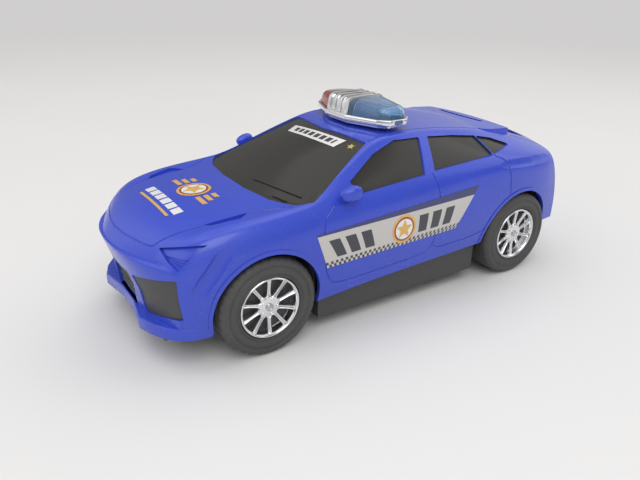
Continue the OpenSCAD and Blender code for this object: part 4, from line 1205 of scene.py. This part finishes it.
class TOYCAR_OT_labels(bpy.types.Operator):
    """Lays the thin printed labels on doors, bonnet and windscreen"""
    bl_idname = "toycar.labels"
    bl_label = "Labels"

    def execute(self, context):
        self.skin = Skin()
        self.door(1, "door_label_left")
        self.door(-1, "door_label_right")
        bonnet = self.medal("top", BONNET_MEDAL, BONNET_MEDAL_R, BONNET_MEDAL_LIFT)
        for i, (near, far) in enumerate(BONNET_BARS):
            front = BONNET_BAR_X - BONNET_BAR_PITCH * i
            rear = front - BONNET_BAR_W
            for side in (1, -1):
                corners = [(front, side * near), (front, side * far), (rear, side * (far + 0.6)), (rear, side * near)]
                corners = [(x, y + BONNET_MEDAL[1]) for x, y in corners]
                bonnet.append(self.patch("bar", "top", corners, 2, 8, ON_BODY, "gold"))
        for i in range(BONNET_BLOCKS):
            shift = BONNET_BLOCK_PITCH * (i - (BONNET_BLOCKS - 1) / 2)
            corners = [(x, y + shift) for x, y in BONNET_BLOCK]
            bonnet.append(self.patch("block", "top", corners, 5, 4, ON_BODY, "film"))
        bonnet.append(self.patch("line", "top", BONNET_LINE, 36, 2, ON_BODY, "gold"))
        self.done(bonnet, "bonnet_label")
        strip = [self.patch("strip", "top", STRIP, 30, 6, ON_SCREEN, "strip_print", STRIP_BOW),
                 self.flat_star("top", STRIP_STAR, STRIP_STAR_R, ON_SCREEN, "yellow")]
        self.done(strip, "windscreen_strip")
        return {"FINISHED"}

    def done(self, pieces, name, side=1):
        """Joins a label's pieces, on the car's other side where side is -1."""
        piece = joined(pieces)
        piece.name = name
        if side < 0:
            for vertex in piece.data.vertices:
                vertex.co.y *= -1
            pick(piece)
            bpy.ops.object.mode_set(mode="EDIT")
            bpy.ops.mesh.select_all(action="SELECT")
            bpy.ops.mesh.flip_normals()
            bpy.ops.object.mode_set(mode="OBJECT")
        smooth(piece, LABEL_CREASE)
        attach(piece, "car_body")

    def door(self, side, name):
        pieces = [self.patch("film", "left", DOOR_FILM, 60, 12, ON_BODY, "door_print"),
                  self.patch("band", "left", DOOR_BAND, 60, 4, ON_BODY - 0.01, "navy")]
        pieces += self.medal("left", DOOR_MEDAL, DOOR_MEDAL_R, DOOR_MEDAL_LIFT)
        self.done(pieces, name, side)

    def medal(self, view, centre, r, lift):
        """A round medal: gold rim, dark red ring, pale field and a gold star."""
        return [self.disc(view, centre, r, lift, "gold"), self.disc(view, centre, r * 0.84, lift + 0.06, "dark_red"),
                self.disc(view, centre, r * 0.72, lift + 0.1, "film"),
                self.flat_star(view, centre, r * 0.7, lift + 0.16, "gold")]

    def disc(self, view, centre, r, lift, finish):
        return self.polar("disc", view, centre, [r] * 60, lift, finish)

    def flat_star(self, view, centre, r, lift, finish):
        """A star with five points, its notches at 0.45 of its radius."""
        notch = math.radians(36)
        along = Vector((0.45 * math.cos(notch) - 1, 0.45 * math.sin(notch)))
        turns = [math.radians(abs((i * 6 + 36) % 72 - 36)) for i in range(60)]
        radii = [r * abs(along.y) / abs(math.cos(t) * along.y - math.sin(t) * along.x) for t in turns]
        return self.polar("star", view, centre, radii, lift, finish)

    def polar(self, name, view, centre, radii, lift, finish, rings=8):
        """A flat form around centre, with its edge at each of the radii in turn."""
        n = len(radii)
        spots = [self.skin.at(view, *centre)]
        turn = 0 if view == "top" else 90
        for k in range(1, rings + 1):
            for i, r in enumerate(radii):
                a = math.radians(360 * i / n + turn)
                reach = r * k / rings
                spots.append(self.skin.at(view, centre[0] + reach * math.cos(a), centre[1] + reach * math.sin(a)))
        faces = [(0, 1 + i, 1 + (i + 1) % n) for i in range(n)]
        faces += [(1 + k * n + i, 1 + (k + 1) * n + i, 1 + (k + 1) * n + (i + 1) % n, 1 + k * n + (i + 1) % n)
                  for k in range(rings - 1) for i in range(n)]
        return self.film(name, spots, faces, lift, finish)

    def patch(self, name, view, corners, nu, nv, lift, finish, bow=0):
        """A four-cornered label, from its lower front corner round, with its own UV map; bow moves its middle."""
        a, b, c, d = [Vector(p) for p in corners]
        shares = [(i / nu, j / nv) for j in range(nv + 1) for i in range(nu + 1)]
        bows = [Vector((4 * bow * u * (1 - u), 0)) for u, _ in shares]
        places = [a.lerp(b, u).lerp(d.lerp(c, u), v) + shift for (u, v), shift in zip(shares, bows)]
        spots = [self.skin.at(view, *place) for place in places]
        faces = [(j * (nu + 1) + i, j * (nu + 1) + i + 1, (j + 1) * (nu + 1) + i + 1, (j + 1) * (nu + 1) + i)
                 for j in range(nv) for i in range(nu)]
        return self.film(name, spots, faces, lift, finish, shares)

    def film(self, name, spots, faces, lift, finish, shares=None):
        """A thin film over points of the body, lifted off it by lift."""
        mesh = bpy.data.meshes.new(name)
        mesh.from_pydata([tuple((p + normal * lift) * MM) for p, normal in spots], [], faces)
        mesh.update()
        if mesh.polygons[0].normal.dot(spots[faces[0][0]][1]) < 0:
            mesh.flip_normals()
        layer = mesh.uv_layers.new(name="print")
        for loop in mesh.loops:
            layer.data[loop.index].uv = shares[loop.vertex_index] if shares else (0.5, 0.5)
        piece = bpy.data.objects.new(name, mesh)
        bpy.context.scene.collection.objects.link(piece)
        modifier = piece.modifiers.new("film", "SOLIDIFY")
        modifier.thickness = FILM * MM
        modifier.offset = -1
        apply(piece, modifier)
        paint(piece, finish)
        return piece


class TOYCAR_OT_stage(bpy.types.Operator):
    """Sets the pale floor, the soft light and the camera"""
    bl_idname = "toycar.stage"
    bl_label = "Stage"

    def execute(self, context):
        bpy.ops.object.select_all(action="DESELECT")
        bpy.ops.mesh.primitive_plane_add(size=FLOOR_SIZE)
        floor = bpy.context.object
        floor.name = "floor"
        floor.data.materials.append(self.ground())
        self.world()
        for name, place, size, power in LAMPS:
            light = bpy.data.lights.new(name, "AREA")
            light.size = size
            light.energy = power
            lamp = bpy.data.objects.new(name, light)
            lamp.location = place
            lamp.rotation_euler = (Vector(LAMP_AIM) - Vector(place)).to_track_quat("-Z", "Y").to_euler()
            bpy.context.scene.collection.objects.link(lamp)
        self.camera()
        bpy.context.scene.view_settings.view_transform = "Standard"
        return {"FINISHED"}

    def ground(self):
        """Pale floor that turns into the plain backdrop further out."""
        ground = Finish("pale_floor", Roughness=0.9, Specular_IOR_Level=0.2)
        ground.set("Base Color", ground.blend(ground.noise(6, 3.0), (0.76, 0.755, 0.75, 1), (0.8, 0.795, 0.79, 1)))
        x, y, _ = ground.parts(ground.place())
        near_edge, far_edge = FLOOR_FADE
        far = ground.value("ShaderNodeMapRange", {"interpolation_type": "SMOOTHSTEP"},
                           {"Value": (x * x + y * y).math("SQRT"), "From Min": near_edge, "From Max": far_edge})
        path = ground.node("ShaderNodeLightPath", {}, {})
        rays = ("Is Camera Ray", "Is Glossy Ray", "Is Transmission Ray")
        seen = sum(Value(ground, path.outputs[name]) for name in rays)
        glow = ground.value("ShaderNodeEmission", {}, {"Color": BACKDROP})
        share = far * seen.math("MINIMUM", 1.0)
        mix = ground.value("ShaderNodeMixShader", {}, {0: share, 1: Value(ground, ground.shader.outputs[0]), 2: glow})
        ground.plug(ground.output.inputs[0], mix)
        return ground.material

    def world(self):
        """Soft light from above with brighter and darker sides, behind a plain backdrop."""
        world = bpy.data.worlds.new("soft_room")
        bpy.context.scene.world = world
        sky = Nodes(world)
        x, y, z = sky.parts(sky.value("ShaderNodeTexCoord", {}, {}, "Generated"))
        sides = (y.math("ARCTAN2", x) * 3 + SKY_TURN).math("SINE") * 0.6 + 1
        strength = (z.math("MAXIMUM", 0.0) * 0.4 + 0.45) * sides
        light = sky.value("ShaderNodeBackground", {}, {"Color": (1.0, 0.99, 0.98, 1), "Strength": strength})
        view = sky.value("ShaderNodeBackground", {}, {"Color": BACKDROP})
        seen = sky.value("ShaderNodeLightPath", {}, {}, "Is Camera Ray")
        mix = sky.value("ShaderNodeMixShader", {}, {0: seen, 1: light, 2: view})
        sky.node("ShaderNodeOutputWorld", {}, {0: mix})

    def camera(self):
        flat, roll = math.cos(CAMERA_HEIGHT), CAMERA_ROLL
        back = Vector((math.cos(CAMERA_AZIMUTH) * flat, math.sin(CAMERA_AZIMUTH) * flat, math.sin(CAMERA_HEIGHT)))
        right = Vector((0, 0, 1)).cross(back).normalized()
        up = back.cross(right)
        across = math.cos(roll) * right + math.sin(roll) * up
        above = math.cos(roll) * up - math.sin(roll) * right
        lens = bpy.data.cameras.new("view")
        lens.lens = CAMERA_LENS
        lens.sensor_width = 36
        lens.clip_start = 0.01
        lens.clip_end = 50
        camera = bpy.data.objects.new("view", lens)
        turn = Matrix((across, above, back)).transposed().to_4x4()
        camera.matrix_world = Matrix.Translation(CAMERA_AT) @ turn
        bpy.context.scene.collection.objects.link(camera)
        bpy.context.scene.camera = camera


STEPS = (TOYCAR_OT_finishes, TOYCAR_OT_body, TOYCAR_OT_glazing, TOYCAR_OT_intakes, TOYCAR_OT_light_bar,
         TOYCAR_OT_tyres, TOYCAR_OT_trims, TOYCAR_OT_labels, TOYCAR_OT_stage)


class TOYCAR_PT_panel(bpy.types.Panel):
    bl_idname = "TOYCAR_PT_panel"
    bl_label = "Toy car"
    bl_space_type = "VIEW_3D"
    bl_region_type = "UI"
    bl_category = "Toy car"

    def draw(self, context):
        for group in (context.scene.car_colours, context.scene.car_sizes):
            for name in group.bl_rna.properties.keys():
                if name not in ("rna_type", "name"):
                    self.layout.prop(group, name)
        for step in STEPS:
            self.layout.operator(step.bl_idname)


CLASSES = (CarColours, CarSizes) + STEPS + (TOYCAR_PT_panel,)


def register():
    for cls in CLASSES:
        bpy.utils.register_class(cls)
    bpy.types.Scene.car_colours = bpy.props.PointerProperty(type=CarColours)
    bpy.types.Scene.car_sizes = bpy.props.PointerProperty(type=CarSizes)


def unregister():
    del bpy.types.Scene.car_sizes
    del bpy.types.Scene.car_colours
    for cls in reversed(CLASSES):
        bpy.utils.unregister_class(cls)


def main():
    register()
    bpy.ops.toycar.finishes()
    bpy.ops.toycar.body()
    bpy.ops.toycar.glazing()
    bpy.ops.toycar.intakes()
    bpy.ops.toycar.light_bar()
    bpy.ops.toycar.tyres()
    bpy.ops.toycar.trims()
    bpy.ops.toycar.labels()
    bpy.ops.toycar.stage()


if __name__ == "__main__":
    main()
